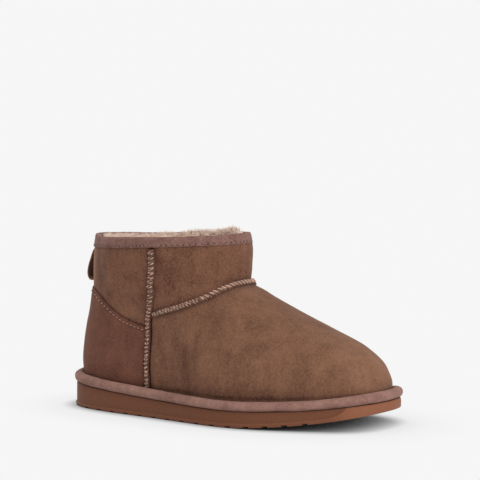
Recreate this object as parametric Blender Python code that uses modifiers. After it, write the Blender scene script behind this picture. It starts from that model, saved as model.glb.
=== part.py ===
# Sheepskin ankle boot, right foot, standing empty on its sole.
# Metres, +Z up, +X towards the toe, -Y is the outer (lateral) side.
# The shapes are worked out in the boot's own measuring frame, from the back of
# the sole, and one empty then puts the middle of the sole's box at the origin.

import math
import random

import bmesh
import bpy
import numpy as np
from mathutils import Vector

MM = 0.001

# Driving sizes
SOLE_LENGTH = 268 * MM
TOE_SPRING = 12.7 * MM
SPRING_START = 0.58
UPPER_WALL = 2.5 * MM
SEAT_GAP = 0.3 * MM
UPPER_INSET = 7.3 * MM
AROUND = 56

# Edge of the sole, seen from above: place, from the heel, towards the inner side
SOLE_EDGE_MM = [
    ("heel back", 0, 0),
    ("heel outer corner", 9.4, -25.3),
    ("heel outer round", 20.5, -34),
    ("heel outer side", 35, -39.5),
    ("waist outer side", 80, -46.5),
    ("midfoot outer side", 129, -53.5),
    ("ball outer side", 172, -56.5),
    ("little toe", 204, -49.5),
    ("toe outer corner", 231, -39.5),
    ("toe outer end", 257, -24.5),
    ("toe outer round", 264.8, -11.5),
    ("toe end", 268, 3),
    ("toe inner round", 266.2, 20),
    ("toe inner corner", 259, 35.5),
    ("big toe", 242, 47.5),
    ("ball inner side", 209, 55),
    ("ball inner back", 177, 53.5),
    ("midfoot inner side", 134, 43.5),
    ("waist inner side", 91, 38.5),
    ("heel inner side", 37.5, 41),
    ("heel inner round", 20.5, 35.3),
    ("heel inner corner", 9.4, 26),
]

# Steps round the boot lie closer together at the heel and the toe
EDGE_CROWDING = 0.35

# Height of the sole's upper face: share of the length, height
SOLE_TOP_MM = [(0, 19.0), (0.2, 15.8), (0.4, 13.3), (0.6, 12.0), (0.8, 14.0), (1, 19.9)]

# Side of the sole: it stands out of the edge above, on which the welt is sewn.
# Its lower band stands proud, and rises into the toe bumper.
# Share of the length, height of the band
SIDE_STAND = 0.7 * MM
SOLE_BAND_MM = [
    (0, 2.4), (0.3, 2.8), (0.82, 3.0), (0.87, 4.4), (0.905, 7), (0.94, 12), (1, 12),
]
BAND_STEP = 0.8 * MM
BAND_CORNER = 0.6 * MM
BAND_FADE = 3 * MM
SIDE_DRAFT = 0.1 * MM
SIDE_LEFT_OVER = 1 * MM
TREAD_BEVEL = 1.3 * MM
SOLE_TOP_BEVEL = 0.8 * MM
# The flat faces are skinned through outlines drawn in to the middle by these shares
TREAD_SHARES = (0.4, 0.75)
TOP_FACE_SHARES = (0.8, 0.45)
INSOLE_SHARE = 0.5

# Tread: wavy grooves across the sole
GROOVE_PITCH = 14 * MM
GROOVE_WIDTH = 4.4 * MM
GROOVE_DEPTH = 2.2 * MM
GROOVE_WAVE = 3.5 * MM
GROOVE_REACH = 75 * MM
GROOVE_BASE = -5 * MM
FIRST_GROOVE = 15 * MM
GROOVE_COUNT = 16

# Welt, a padded suede roll on the rim of the sole.
# Inset from the sole's edge, height over the sole's upper face
WELT_PROFILE_MM = [
    (6.8, 0.4), (0.6, 0.4), (-1.6, 1.6), (-2.3, 3.6), (-1.6, 5.8),
    (0.4, 7.0), (2.8, 7.2), (4.6, 6.2), (5.9, 4.2),
]
# The roll is fuller at the heel and the toe: share of the length, factor of the height
WELT_FULLNESS = [(0, 1.12), (0.35, 1.03), (0.8, 0.96), (1, 1.05)]

# Insole
INSOLE_INSET = 10.4 * MM
INSOLE_THICK = 5 * MM
INSOLE_EDGE = 1.2 * MM
INSOLE_SEAT = 0.5 * MM

# Sections of the upper, from the sole to the collar. Each one is a closed
# outline in a plane through its back point and its front point:
# place, back x, back z, front x, front z, outer half width, inner half width,
# roundness (0 is the foot's outline, 1 an oval)
SECTIONS_MM = [
    ("feather edge", 7.3, 18.9, 260.7, 19.4, 49.2, 48.0, 0.0),
    ("over the welt", 6.3, 27.0, 263.2, 28.6, 49.9, 48.7, 0.0),
    ("toe wall", 5.4, 38.0, 258.4, 41.0, 50.0, 48.5, 0.03),
    ("toe cap", 6.2, 50.0, 243.4, 54.0, 47.5, 46.0, 0.10),
    ("toe top", 8.0, 62.0, 219.1, 65.5, 45.0, 43.5, 0.25),
    ("vamp", 11.2, 75.0, 188.0, 79.2, 43.5, 42.5, 0.45),
    ("instep", 14.0, 86.0, 161.5, 91.5, 44.0, 43.0, 0.65),
    ("front seam", 14.9, 95.0, 147.5, 100.5, 45.0, 44.0, 0.80),
    ("ankle", 15.1, 106.0, 148.1, 110.5, 46.8, 46.0, 0.92),
    ("shaft", 15.7, 119.0, 148.7, 124.0, 47.8, 47.6, 0.97),
    ("collar rim", 19.4, 131.0, 145.4, 136.0, 47.9, 47.9, 1.0),
]
TOP_LEVEL = len(SECTIONS_MM) - 1
# Levels of the mesh's rows, closer where the toe and the instep turn
ROW_LEVELS = [0, 1, 1.5, 2, 2.5, 3, 4, 5, 6, 6.5, 7, 7.5, 8, 9, 9.5, 10]
SOLE_SAG_LEVELS = 4
OVAL_CROWDING = 0.45

# Seams. A level is a row of the table above, a turn is the share of the way
# round the boot from the heel, outer side first.
# Side seam: level, turn
SIDE_SEAM = [
    (0.8, 0.188), (2.3, 0.191), (3.05, 0.194), (3.76, 0.198), (4.42, 0.203),
    (5.07, 0.212), (5.73, 0.222), (6.8, 0.2345), (7.8, 0.2345), (9.26, 0.233),
]
# Seam between vamp and shaft: turn, level
VAMP_SEAM = [
    (0.213, 4.88), (0.231, 5.12), (0.25, 5.32), (0.283, 5.66), (0.309, 5.92),
    (0.339, 6.24), (0.374, 6.52), (0.43, 6.79), (0.5, 6.86),
]
# Upper edge of the heel counter: turn, level
COUNTER_EDGE = [
    (0, 6.85), (0.08, 6.78), (0.109, 6.56), (0.128, 6.04), (0.147, 5.43),
    (0.157, 5.06), (0.167, 4.76), (0.177, 4.57), (0.197, 4.27),
]
# Half-round section of a seam: share of its width, share of its height
SEAM_SHAPE = [
    (-0.5, 0), (-0.5, 0.35), (-0.28, 0.85), (0, 1), (0.28, 0.85), (0.5, 0.35), (0.5, 0),
]
SIDE_SEAM_WIDTH = 4.4 * MM
SIDE_SEAM_HEIGHT = 1.7 * MM
SIDE_SEAM_SEAT = 0.4 * MM
SIDE_STEPS = 19
VAMP_SEAM_WIDTH = 5 * MM
VAMP_SEAM_HEIGHT = 2.3 * MM
VAMP_SEAM_SEAT = 0.7 * MM
VAMP_STEPS = 34
VAMP_START = 0.2183
COUNTER_THICK = 1.1 * MM
COUNTER_SEAT = 0.7 * MM
COUNTER_ROWS = 8
COUNTER_HALF = 10
COUNTER_MARGIN = 0.0046
TRIM_FOOT = 7.9 * MM

# Binding folded over the rim: how far out of the upper, height over the rim
BINDING_PROFILE_MM = [
    (0.4, -7.8), (1.5, -7.6), (2.0, -4.2), (1.7, -0.4), (0.4, 1.4), (-2.6, 1.5),
    (-4.2, 0.4), (-4.2, -5.5), (-2.9, -5.5), (-2.8, 0.3), (0.4, 0.3), (0.4, -4.0),
]

# Fleece at the mouth. How far inside the upper, depth under the rim
FLEECE_PROFILE_MM = [
    (3.5, 30), (3.4, 22), (3.4, 14), (3.4, 7.0), (4.8, 6.2), (4.8, 0.5), (6.8, -0.2),
    (10.0, 0.4), (12.6, 4.0), (13.2, 13.0), (11.5, 24.0), (7.5, 30),
]
FLEECE_TOP_ROWS = (6, 7)
FLEECE_LOCK_ROWS = (6, 7, 8, 9, 10)
# How far the fleece rises over the rim: turn, rise
FLEECE_RISE_MM = [
    (0, -0.8), (0.21, -0.8), (0.31, 0.6), (0.39, 3.4),
    (0.5, 4.2), (0.6, 3.6), (0.68, 1.6), (0.79, 0), (1, -0.8),
]
LOCK_LENGTH = 2.6 * MM
LOCK_SEED = 11

# Pull loop, a folded strip behind the shaft: off the shaft, height
LOOP_PATH_MM = [
    (1.3, 121.0), (2.4, 122.2), (3.7, 120.6), (5.4, 115.5), (7.1, 110.0), (8.3, 104.8),
    (8.2, 100.6), (6.3, 97.8), (3.6, 97.9), (1.7, 100.6), (1.3, 105.5), (1.3, 113.5),
]
LOOP_THICK = 1.7 * MM
LOOP_WIDTH = 18 * MM
# Corners of the strip: side of its middle line, side of the boot's middle
LOOP_CORNERS = [(1, -1), (1, 1), (-1, 1), (-1, -1)]

# Colours seen on the real boot, as linear red, green, blue
SUEDE = (0.205, 0.098, 0.060)
HEEL_SUEDE = (0.150, 0.068, 0.046)
BINDING_SUEDE = (0.262, 0.150, 0.130)
SEAM_SUEDE = (0.180, 0.088, 0.058)
SOLE_RUBBER = (0.150, 0.062, 0.034)
FLEECE = (0.620, 0.520, 0.430)


# Clear the scene and make the two collections
for old in list(bpy.data.objects):
    bpy.data.objects.remove(old, do_unlink=True)
parts = bpy.data.collections.new("sheepskin_boot")
cutters = bpy.data.collections.new("cutters")
bpy.context.scene.collection.children.link(parts)
bpy.context.scene.collection.children.link(cutters)


def read_curve(rows, place, column=1):
    """Read a table at a place, on a smooth curve that never overshoots its rows."""
    x = np.array([row[0] for row in rows], float)
    y = np.array([row[column] for row in rows], float)
    step = np.diff(x)
    rise = np.diff(y) / step
    slope = np.concatenate([rise[:1], np.zeros(len(x) - 2), rise[-1:]])
    for i in range(1, len(x) - 1):
        if rise[i - 1] * rise[i] > 0:
            slope[i] = 2 * rise[i - 1] * rise[i] / (rise[i - 1] + rise[i])
    place = min(max(place, x[0]), x[-1])
    i = min(int(np.searchsorted(x, place, side="right")) - 1, len(step) - 1)
    q = (place - x[i]) / step[i]
    start = (2 * q**3 - 3 * q**2 + 1) * y[i] + (q**3 - 2 * q**2 + q) * step[i] * slope[i]
    end = (3 * q**2 - 2 * q**3) * y[i + 1] + (q**3 - q**2) * step[i] * slope[i + 1]
    return float(start + end)


def closed_curve(points, shares):
    """Points at shares of the length of a smooth closed curve through the points."""
    p = np.array(points, float)
    n = len(p)
    gaps = np.linalg.norm(np.roll(p, -1, axis=0) - p, axis=1)
    matrix = np.zeros((n, n))
    right = np.zeros((n, 2))
    for i in range(n):
        before, after = gaps[i - 1], gaps[i]
        following = (i + 1) % n
        matrix[i, i - 1] += after
        matrix[i, i] += 2 * (before + after)
        matrix[i, following] += before
        right[i] = 3 * (after * (p[i] - p[i - 1]) / before + before * (p[following] - p[i]) / after)
    slope = np.linalg.solve(matrix, right)
    starts = np.concatenate([[0], np.cumsum(gaps)])
    curve = []
    for share in shares:
        s = share * starts[-1]
        i = min(int(np.searchsorted(starts, s, side="right")) - 1, n - 1)
        j = (i + 1) % n
        q = (s - starts[i]) / gaps[i]
        first = (2 * q**3 - 3 * q**2 + 1) * p[i] + (q**3 - 2 * q**2 + q) * gaps[i] * slope[i]
        second = (3 * q**2 - 2 * q**3) * p[j] + (q**3 - q**2) * gaps[i] * slope[j]
        curve.append(first + second)
    return np.array(curve)


def edge_share(turn):
    """Share of the edge's length that lies before a turn."""
    return turn - EDGE_CROWDING * math.sin(4 * math.pi * turn) / (4 * math.pi)


def even_turns(count):
    return [i / count for i in range(count)]


# The sole's edge in fine steps, with the direction that points out of it
FINE_STEPS = 720
FINE_SHARES = [edge_share(turn) for turn in even_turns(FINE_STEPS)]
EDGE = closed_curve([(x * MM, y * MM) for _, x, y in SOLE_EDGE_MM], FINE_SHARES)
EDGE_RUN = np.roll(EDGE, -1, axis=0) - np.roll(EDGE, 1, axis=0)
EDGE_RUN /= np.linalg.norm(EDGE_RUN, axis=1)[:, None]
EDGE_OUT = np.column_stack([EDGE_RUN[:, 1], -EDGE_RUN[:, 0]])


def round_trip(table, turn):
    """Read a table of even steps round the boot at a turn from 0 to 1."""
    place = (turn % 1) * len(table)
    i = int(place) % len(table)
    share = place - int(place)
    return table[i] * (1 - share) + table[(i + 1) % len(table)] * share


def sole_edge(turn, inset):
    """Point of the sole's outline, moved in by the inset."""
    return round_trip(EDGE, turn) - inset * round_trip(EDGE_OUT, turn)


def sole_top(x):
    return read_curve(SOLE_TOP_MM, x / SOLE_LENGTH) * MM


def sole_bottom(x):
    """The tread is flat up to the ball, then lifts to the toe."""
    share = (x / SOLE_LENGTH - SPRING_START) / (1 - SPRING_START)
    return TOE_SPRING * min(max(share, 0), 1) ** 2


# The foot's outline at the feather edge, in shares of its length and widths
FOOT = EDGE - UPPER_INSET * EDGE_OUT
FOOT_SHARE = (FOOT[:, 0] - FOOT[:, 0].min()) / np.ptp(FOOT[:, 0])
FOOT_SIDE = np.where(FOOT[:, 1] < 0, FOOT[:, 1] / -FOOT[:, 1].min(), FOOT[:, 1] / FOOT[:, 1].max())


def section_point(level, turn):
    """Point of the upper's outer face: the foot's outline turns into an oval on the way up."""
    rows = [(i, *row[1:]) for i, row in enumerate(SECTIONS_MM)]
    values = [read_curve(rows, level, column) for column in range(1, 8)]
    back_x, back_z, front_x, front_z, outer_half, inner_half, roundness = values
    half_way = 2 * min(edge_share(turn), 1 - edge_share(turn))
    crowded = half_way + OVAL_CROWDING * half_way * (1 - half_way)
    oval_share = (1 - math.cos(math.pi * crowded)) / 2
    oval_side = math.sin(math.pi * crowded) * (-1 if turn <= 0.5 else 1)
    share = round_trip(FOOT_SHARE, turn) * (1 - roundness) + oval_share * roundness
    side = round_trip(FOOT_SIDE, turn) * (1 - roundness) + oval_side * roundness
    x = back_x + (front_x - back_x) * share
    y = side * (outer_half if side < 0 else inner_half)
    z = back_z + (front_z - back_z) * share
    # Near the sole the sections follow its hollow
    sole_ends = sole_top(back_x * MM) * (1 - share) + sole_top(front_x * MM) * share
    sag = (sole_top(x * MM) - sole_ends) * max(0, 1 - level / SOLE_SAG_LEVELS) ** 2
    return Vector((x * MM, y * MM, z * MM + sag))


# The upper's outer face as a grid of rows and columns, and the way out of it
GRID = [
    [section_point(level, turn) for turn in even_turns(AROUND)]
    for level in ROW_LEVELS
]


def grid_normal(row, column):
    above = GRID[min(row + 1, len(ROW_LEVELS) - 1)][column]
    below = GRID[max(row - 1, 0)][column]
    ahead = GRID[row][(column + 1) % AROUND]
    behind = GRID[row][column - 1]
    return (ahead - behind).cross(above - below).normalized()


GRID_OUT = [
    [grid_normal(row, column) for column in range(AROUND)]
    for row in range(len(ROW_LEVELS))
]


def blend_grid(grid, level, turn):
    row_place = float(np.interp(level, ROW_LEVELS, range(len(ROW_LEVELS))))
    row = min(int(row_place), len(ROW_LEVELS) - 2)
    up = row_place - row
    column_place = (turn % 1) * AROUND
    column = int(column_place) % AROUND
    on = column_place - int(column_place)
    lower = grid[row][column].lerp(grid[row][(column + 1) % AROUND], on)
    upper = grid[row + 1][column].lerp(grid[row + 1][(column + 1) % AROUND], on)
    return lower.lerp(upper, up)


def on_upper(level, turn, stand):
    """Point that stands out of the upper's outer face by the given distance."""
    return blend_grid(GRID, level, turn) + stand * blend_grid(GRID_OUT, level, turn).normalized()


def foot_level(turn):
    """Level at which the trim starts, just over the welt."""
    rise = blend_grid(GRID, 1, turn).z - blend_grid(GRID, 0, turn).z
    return (TRIM_FOOT - SEAT_GAP) / rise


def near_rim(turn, stand, height):
    """Point by the collar: height is over the rim, or down the shaft when negative."""
    rim = on_upper(TOP_LEVEL, turn, stand)
    if height >= 0:
        return rim + Vector((0, 0, height))
    drop = blend_grid(GRID, TOP_LEVEL, turn) - blend_grid(GRID, TOP_LEVEL - 1, turn)
    return on_upper(TOP_LEVEL + height / drop.length, turn, stand)


def make_material(name, colour, roughness):
    material = bpy.data.materials.new(name)
    material.use_nodes = True
    shader = material.node_tree.nodes["Principled BSDF"]
    shader.inputs["Base Color"].default_value = (*colour, 1)
    shader.inputs["Roughness"].default_value = roughness
    shader.inputs["Metallic"].default_value = 0
    return material


# The empty that carries every part, so that the origin is under the middle of the box
middle = (EDGE.max(axis=0) + EDGE.min(axis=0)) / 2
boot = bpy.data.objects.new("boot", None)
boot.location = (-middle[0], -middle[1], 0)
parts.objects.link(boot)


def add_object(name, form, material, collection=parts):
    """Turn a bmesh into a named object under the boot's empty."""
    mesh = bpy.data.meshes.new(name)
    form.to_mesh(mesh)
    form.free()
    mesh.materials.append(material)
    mesh.shade_smooth()
    piece = bpy.data.objects.new(name, mesh)
    collection.objects.link(piece)
    piece.parent = boot
    return piece


def loft(form, rings, wrap=False, tips=None, flat_ends=False):
    """Skin closed rings of equal length. The ends stay open, or get a tip or a flat face."""
    grid = [[form.verts.new(point) for point in ring] for ring in rings]
    count = len(rings[0])
    pairs = list(zip(grid, grid[1:]))
    if wrap:
        pairs.append((grid[-1], grid[0]))
    for lower, upper in pairs:
        for i in range(count):
            j = (i + 1) % count
            form.faces.new((lower[i], lower[j], upper[j], upper[i]))
    if flat_ends:
        form.faces.new(grid[0])
        form.faces.new(grid[-1])
    if tips:
        for ring, tip in zip((grid[0], grid[-1]), tips):
            middle_vertex = form.verts.new(tip)
            for i in range(count):
                form.faces.new((ring[i], ring[(i + 1) % count], middle_vertex))


def closed_body(name, rings, material, collection=parts, **options):
    """A closed solid from one loft, with its faces turned outwards."""
    form = bmesh.new()
    loft(form, rings, **options)
    bmesh.ops.recalc_face_normals(form, faces=form.faces[:])
    return add_object(name, form, material, collection)


def toward_middle(turn, inset, scale):
    """Point of the sole's outline drawn in to the middle of the sole."""
    edge = sole_edge(turn, inset)
    return middle + (edge - middle) * scale


# Outsole: one moulded unit with a proud lower band, a toe bumper and a grooved tread
def side_levels(x):
    """Heights of the sole's side at x, and how deep its upper part is set back."""
    bottom = sole_bottom(x)
    top = sole_top(x)
    full = top - bottom - SOLE_TOP_BEVEL - SIDE_LEFT_OVER
    band = min(read_curve(SOLE_BAND_MM, x / SOLE_LENGTH) * MM, full - BAND_CORNER)
    fade = min(1, (full - band) / BAND_FADE)
    return bottom, top, band, BAND_STEP * fade


def outsole_ring(kind):
    ring = []
    for turn in even_turns(AROUND):
        x = sole_edge(turn, 0)[0]
        bottom, top, band, step = side_levels(x)
        inset, z = {
            "tread": (TREAD_BEVEL, bottom),
            "bevel": (SIDE_DRAFT, bottom + TREAD_BEVEL),
            "band": (0, bottom + band),
            "step": (step, bottom + band + BAND_CORNER),
            "side": (step + SIDE_DRAFT, top - SOLE_TOP_BEVEL),
            "rim": (step + SOLE_TOP_BEVEL, top),
        }[kind]
        edge = sole_edge(turn, inset - SIDE_STAND)
        ring.append((edge[0], edge[1], z))
    return ring


def inner_ring(scale, height, inset):
    ring = []
    for turn in even_turns(AROUND):
        x, y = toward_middle(turn, inset, scale)
        ring.append((x, y, height(x)))
    return ring


rubber = make_material("sole_rubber", SOLE_RUBBER, 0.62)
outsole_rings = [inner_ring(share, sole_bottom, TREAD_BEVEL) for share in TREAD_SHARES]
outsole_rings += [outsole_ring(kind) for kind in ("tread", "bevel", "band", "step", "side", "rim")]
outsole_rings += [inner_ring(share, sole_top, BAND_STEP) for share in TOP_FACE_SHARES]
outsole_tips = [
    (middle[0], middle[1], sole_bottom(middle[0])),
    (middle[0], middle[1], sole_top(middle[0])),
]
outsole = closed_body("outsole", outsole_rings, rubber, tips=outsole_tips)


def groove_rings(centre):
    """A wavy bar across the sole, from under it up to the groove's floor."""
    top = sole_bottom(centre) + GROOVE_DEPTH
    rings = []
    for i, share in enumerate((-1, -1 / 3, 0, 1 / 3, 1)):
        x = centre + GROOVE_WAVE * (-1) ** i / 2
        y = GROOVE_REACH * share
        back, front = x - GROOVE_WIDTH / 2, x + GROOVE_WIDTH / 2
        corners = ((back, GROOVE_BASE), (front, GROOVE_BASE), (front, top), (back, top))
        rings.append([(along, y, z) for along, z in corners])
    return rings


grooves_form = bmesh.new()
for index in range(GROOVE_COUNT):
    loft(grooves_form, groove_rings(FIRST_GROOVE + index * GROOVE_PITCH), flat_ends=True)
bmesh.ops.recalc_face_normals(grooves_form, faces=grooves_form.faces[:])
grooves = add_object("tread_grooves", grooves_form, rubber, cutters)
grooves.hide_render = True
grooves.display_type = "WIRE"
cut = outsole.modifiers.new("tread", "BOOLEAN")
cut.operation = "DIFFERENCE"
cut.solver = "EXACT"
cut.object = grooves


# Welt: the suede-covered roll round the rim of the sole
def welt_ring(inset, height):
    ring = []
    for turn in even_turns(AROUND):
        x, y = sole_edge(turn, inset)
        along = sole_edge(turn, 0)[0]
        full = read_curve(WELT_FULLNESS, along / SOLE_LENGTH)
        ring.append((x, y, sole_top(along) + height * full))
    return ring


binding_suede = make_material("binding_suede", BINDING_SUEDE, 0.92)
welt_rings = [welt_ring(inset * MM, height * MM) for inset, height in WELT_PROFILE_MM]
closed_body("welt", welt_rings, binding_suede, wrap=True)


# Insole: the fleece footbed that lies on the sole inside the upper
def insole_ring(inset, lift):
    ring = []
    for turn in even_turns(AROUND):
        x, y = sole_edge(turn, INSOLE_INSET + inset)
        ring.append((x, y, sole_top(x) + lift))
    return ring


def insole_inner(scale, lift):
    return inner_ring(scale, lambda x: sole_top(x) + lift, INSOLE_INSET + INSOLE_EDGE)


fleece_material = make_material("fleece", FLEECE, 0.95)
low = INSOLE_SEAT
high = INSOLE_SEAT + INSOLE_THICK
insole_rings = [
    insole_inner(INSOLE_SHARE, low),
    insole_ring(0, low),
    insole_ring(0, high - INSOLE_EDGE),
    insole_ring(INSOLE_EDGE, high),
    insole_inner(INSOLE_SHARE, high),
]
insole_tips = [(middle[0], middle[1], sole_top(middle[0]) + lift) for lift in (low, high)]
closed_body("insole", insole_rings, fleece_material, tips=insole_tips)


# Upper: one hollow skin, open at the collar and underneath
suede = make_material("suede", SUEDE, 0.9)
upper_form = bmesh.new()
loft(upper_form, GRID)
upper = add_object("upper", upper_form, suede)
wall = upper.modifiers.new("wall", "SOLIDIFY")
wall.thickness = UPPER_WALL
wall.offset = -1
wall.use_even_offset = True


# Raised seams: a low half-round roll that follows a route on the upper
def seam_sections(route, width, height, seat):
    """Cross sections along a route of levels and turns."""
    centres = [on_upper(level, turn, 0) for level, turn in route]
    sections = []
    for i, (level, turn) in enumerate(route):
        run = (centres[min(i + 1, len(centres) - 1)] - centres[max(i - 1, 0)]).normalized()
        out = blend_grid(GRID_OUT, level, turn).normalized()
        out = (out - out.dot(run) * run).normalized()
        across = run.cross(out)
        base = centres[i] + out * seat
        sections.append(
            [base + across * (a * width) + out * (b * height) for a, b in SEAM_SHAPE]
        )
    return sections


seam_suede = make_material("seam_suede", SEAM_SUEDE, 0.92)
for side_name in ("outer", "inner"):
    side_route = []
    first_level = foot_level(SIDE_SEAM[0][1])
    for i in range(SIDE_STEPS):
        level = first_level + (SIDE_SEAM[-1][0] - first_level) * i / (SIDE_STEPS - 1)
        turn = read_curve(SIDE_SEAM, level)
        side_route.append((level, turn if side_name == "outer" else 1 - turn))
    seam = seam_sections(side_route, SIDE_SEAM_WIDTH, SIDE_SEAM_HEIGHT, SIDE_SEAM_SEAT)
    closed_body("side_seam_" + side_name, seam, seam_suede, flat_ends=True)

# The vamp seam starts and ends just in front of the side seams
vamp_route = []
for i in range(VAMP_STEPS):
    turn = VAMP_START + (1 - 2 * VAMP_START) * i / (VAMP_STEPS - 1)
    vamp_route.append((read_curve(VAMP_SEAM, min(turn, 1 - turn)), turn))
vamp = seam_sections(vamp_route, VAMP_SEAM_WIDTH, VAMP_SEAM_HEIGHT, VAMP_SEAM_SEAT)
closed_body("vamp_seam", vamp, seam_suede, flat_ends=True)


# Heel counter: the suede patch sewn round the heel, between the side seams
def counter_section(across):
    """Closed slice of the patch, at a share of the way from the heel to a side seam."""
    inner = []
    outer = []
    for i in range(COUNTER_ROWS):
        up = i / (COUNTER_ROWS - 1)
        turn = across * SIDE_SEAM[1][1]
        # The side seam leans, so turn and level are settled together in a few rounds
        for _ in range(3):
            top = read_curve(COUNTER_EDGE, abs(turn))
            foot = foot_level(turn)
            level = foot + (top - foot) * up
            turn = across * (read_curve(SIDE_SEAM, level) - COUNTER_MARGIN)
        inner.append(on_upper(level, turn, COUNTER_SEAT))
        outer.append(on_upper(level, turn, COUNTER_SEAT + COUNTER_THICK))
    return inner + outer[::-1]


heel_suede = make_material("heel_suede", HEEL_SUEDE, 0.92)
counter = [counter_section(i / COUNTER_HALF) for i in range(-COUNTER_HALF, COUNTER_HALF + 1)]
closed_body("heel_counter", counter, heel_suede, flat_ends=True)


# Collar binding: a suede strip folded over the rim, with its inner lap
def binding_ring(stand, height):
    return [near_rim(turn, stand, height) for turn in even_turns(AROUND)]


binding_rings = [binding_ring(stand * MM, height * MM) for stand, height in BINDING_PROFILE_MM]
closed_body("collar_binding", binding_rings, binding_suede, wrap=True)


# Fleece at the mouth: a thick ring whose locks are pulled out of its face
locks = random.Random(LOCK_SEED)


def fleece_ring(row, inside, depth):
    ring = []
    for turn in even_turns(AROUND):
        rise = read_curve(FLEECE_RISE_MM, turn) * MM if row in FLEECE_TOP_ROWS else 0
        point = near_rim(turn, -inside, -depth + rise)
        if row in FLEECE_LOCK_ROWS:
            inward = -blend_grid(GRID_OUT, TOP_LEVEL - 1, turn).normalized()
            pull = inward if row not in FLEECE_TOP_ROWS else Vector((0, 0, 1))
            point += pull * LOCK_LENGTH * locks.random()
        ring.append(point)
    return ring


fleece_rings = [
    fleece_ring(row, inside * MM, depth * MM)
    for row, (inside, depth) in enumerate(FLEECE_PROFILE_MM)
]
closed_body("fleece_collar", fleece_rings, fleece_material, wrap=True)


# Pull loop: a suede strip folded into a hanging loop behind the shaft
loop_path = [Vector((out * MM, z * MM)) for out, z in LOOP_PATH_MM]


def shaft_back(z):
    """How far the back of the shaft lies from the heel at a height."""
    back = [row[0] for row in GRID]
    return float(np.interp(z, [point.z for point in back], [point.x for point in back]))


loop_sections = []
for i, point in enumerate(loop_path):
    run = (loop_path[(i + 1) % len(loop_path)] - loop_path[i - 1]).normalized()
    side = Vector((run.y, -run.x)) * LOOP_THICK / 2
    section = []
    for corner, y in LOOP_CORNERS:
        place = point + side * corner
        section.append((shaft_back(place.y) - place.x, y * LOOP_WIDTH / 2, place.y))
    loop_sections.append(section)
closed_body("pull_loop", loop_sections, suede, wrap=True)
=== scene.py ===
# %% [markdown]
# # Dressing a sheepskin ankle boot
#
# The frame that is loaded here holds the boot's plain solids at their real size. Each
# step below takes one piece or one finish, says what it is on the real boot, and builds
# the surface that is seen: napped suede, rolled seams, stitches, wool and rubber.
# All lengths are in metres, and MM turns a size in millimetres into metres.

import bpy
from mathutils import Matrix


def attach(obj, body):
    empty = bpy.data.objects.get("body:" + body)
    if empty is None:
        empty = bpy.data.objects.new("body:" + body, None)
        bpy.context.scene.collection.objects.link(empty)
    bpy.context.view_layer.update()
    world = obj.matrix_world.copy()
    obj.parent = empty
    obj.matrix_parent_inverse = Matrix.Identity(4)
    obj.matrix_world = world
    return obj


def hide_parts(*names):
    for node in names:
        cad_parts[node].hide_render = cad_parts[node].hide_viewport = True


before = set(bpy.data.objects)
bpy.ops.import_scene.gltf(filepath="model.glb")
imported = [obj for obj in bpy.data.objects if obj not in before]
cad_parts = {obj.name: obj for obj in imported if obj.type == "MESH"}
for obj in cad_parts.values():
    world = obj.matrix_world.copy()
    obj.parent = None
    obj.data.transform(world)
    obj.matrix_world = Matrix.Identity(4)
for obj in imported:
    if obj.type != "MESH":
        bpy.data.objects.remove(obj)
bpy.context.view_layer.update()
print("solids:", sorted(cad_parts))

# %% Blender's modules and the unit
import math
import random

import bmesh
import bpy
import numpy as np
from mathutils import Vector, kdtree, noise

MM = 0.001

# %% [markdown]
# ## The camera
#
# The boot is seen from its outer side, turned a third of a right angle towards the toe,
# by a long lens that stands a little higher than the collar. A long lens keeps the heel
# and the toe at almost the same scale. The focal length is given in pixels of the
# picture, because that is how it is measured on a picture, and turned into millimetres.

# %% Camera
CAMERA_TURN = math.radians(33.0)
CAMERA_YAW = math.radians(-0.4)
CAMERA_PITCH = math.radians(-2.85)
CAMERA_AWAY = 1.2255
CAMERA_HEIGHT = 192.3 * MM
FOCAL_PIXELS = 1634
PICTURE_PIXELS = 480

camera_data = bpy.data.cameras.new("camera")
camera_data.sensor_width = 36
camera_data.lens = FOCAL_PIXELS / PICTURE_PIXELS * camera_data.sensor_width
camera = bpy.data.objects.new("camera", camera_data)
camera.location = (
    CAMERA_AWAY * math.sin(CAMERA_TURN),
    -CAMERA_AWAY * math.cos(CAMERA_TURN),
    CAMERA_HEIGHT,
)
camera.rotation_euler = (math.radians(90) + CAMERA_PITCH, 0, CAMERA_TURN + CAMERA_YAW)
bpy.context.scene.collection.objects.link(camera)
bpy.context.scene.camera = camera
print("lens in mm:", round(camera_data.lens, 1))

# %% [markdown]
# ## Floor and light
#
# A studio floor for shoes is a pale table that glows by itself, so that only the touch
# of the sole leaves a shadow. The glow is an Emission shader. Two Ambient Occlusion nodes
# dim it where the sole is near, one for the dark line of contact and one for the soft
# surroundings. The sky has the same brightness, so floor and background run into each
# other without an edge.

# %% Pale floor
BACKDROP = 0.921
SHADOWS = [
    # how far the sole darkens the floor, how strongly
    (13 * MM, 1.0),
    (60 * MM, 0.3),
]
FLOOR_HALF = 8.0


def new_material(name):
    """An empty material, with its node tree and its output node."""
    material = bpy.data.materials.new(name)
    material.use_nodes = True
    tree = material.node_tree
    tree.nodes.clear()
    return material, tree, tree.nodes.new("ShaderNodeOutputMaterial")


def add_node(tree, kind, settings=None, **inputs):
    """A node with some settings. An input is given by its name, spaces as underscores."""
    made = tree.nodes.new(kind)
    for name, value in (settings or {}).items():
        setattr(made, name, value)
    for name, value in inputs.items():
        socket = made.inputs[name.replace("_", " ")]
        if isinstance(value, bpy.types.NodeSocket):
            tree.links.new(value, socket)
        else:
            socket.default_value = value
    return made


def arithmetic(tree, operation, first, second):
    """The result of one sum on two values or sockets."""
    made = tree.nodes.new("ShaderNodeMath")
    made.operation = operation
    for socket, value in zip(made.inputs, (first, second)):
        if isinstance(value, bpy.types.NodeSocket):
            tree.links.new(value, socket)
        else:
            socket.default_value = value
    return made.outputs[0]


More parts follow.
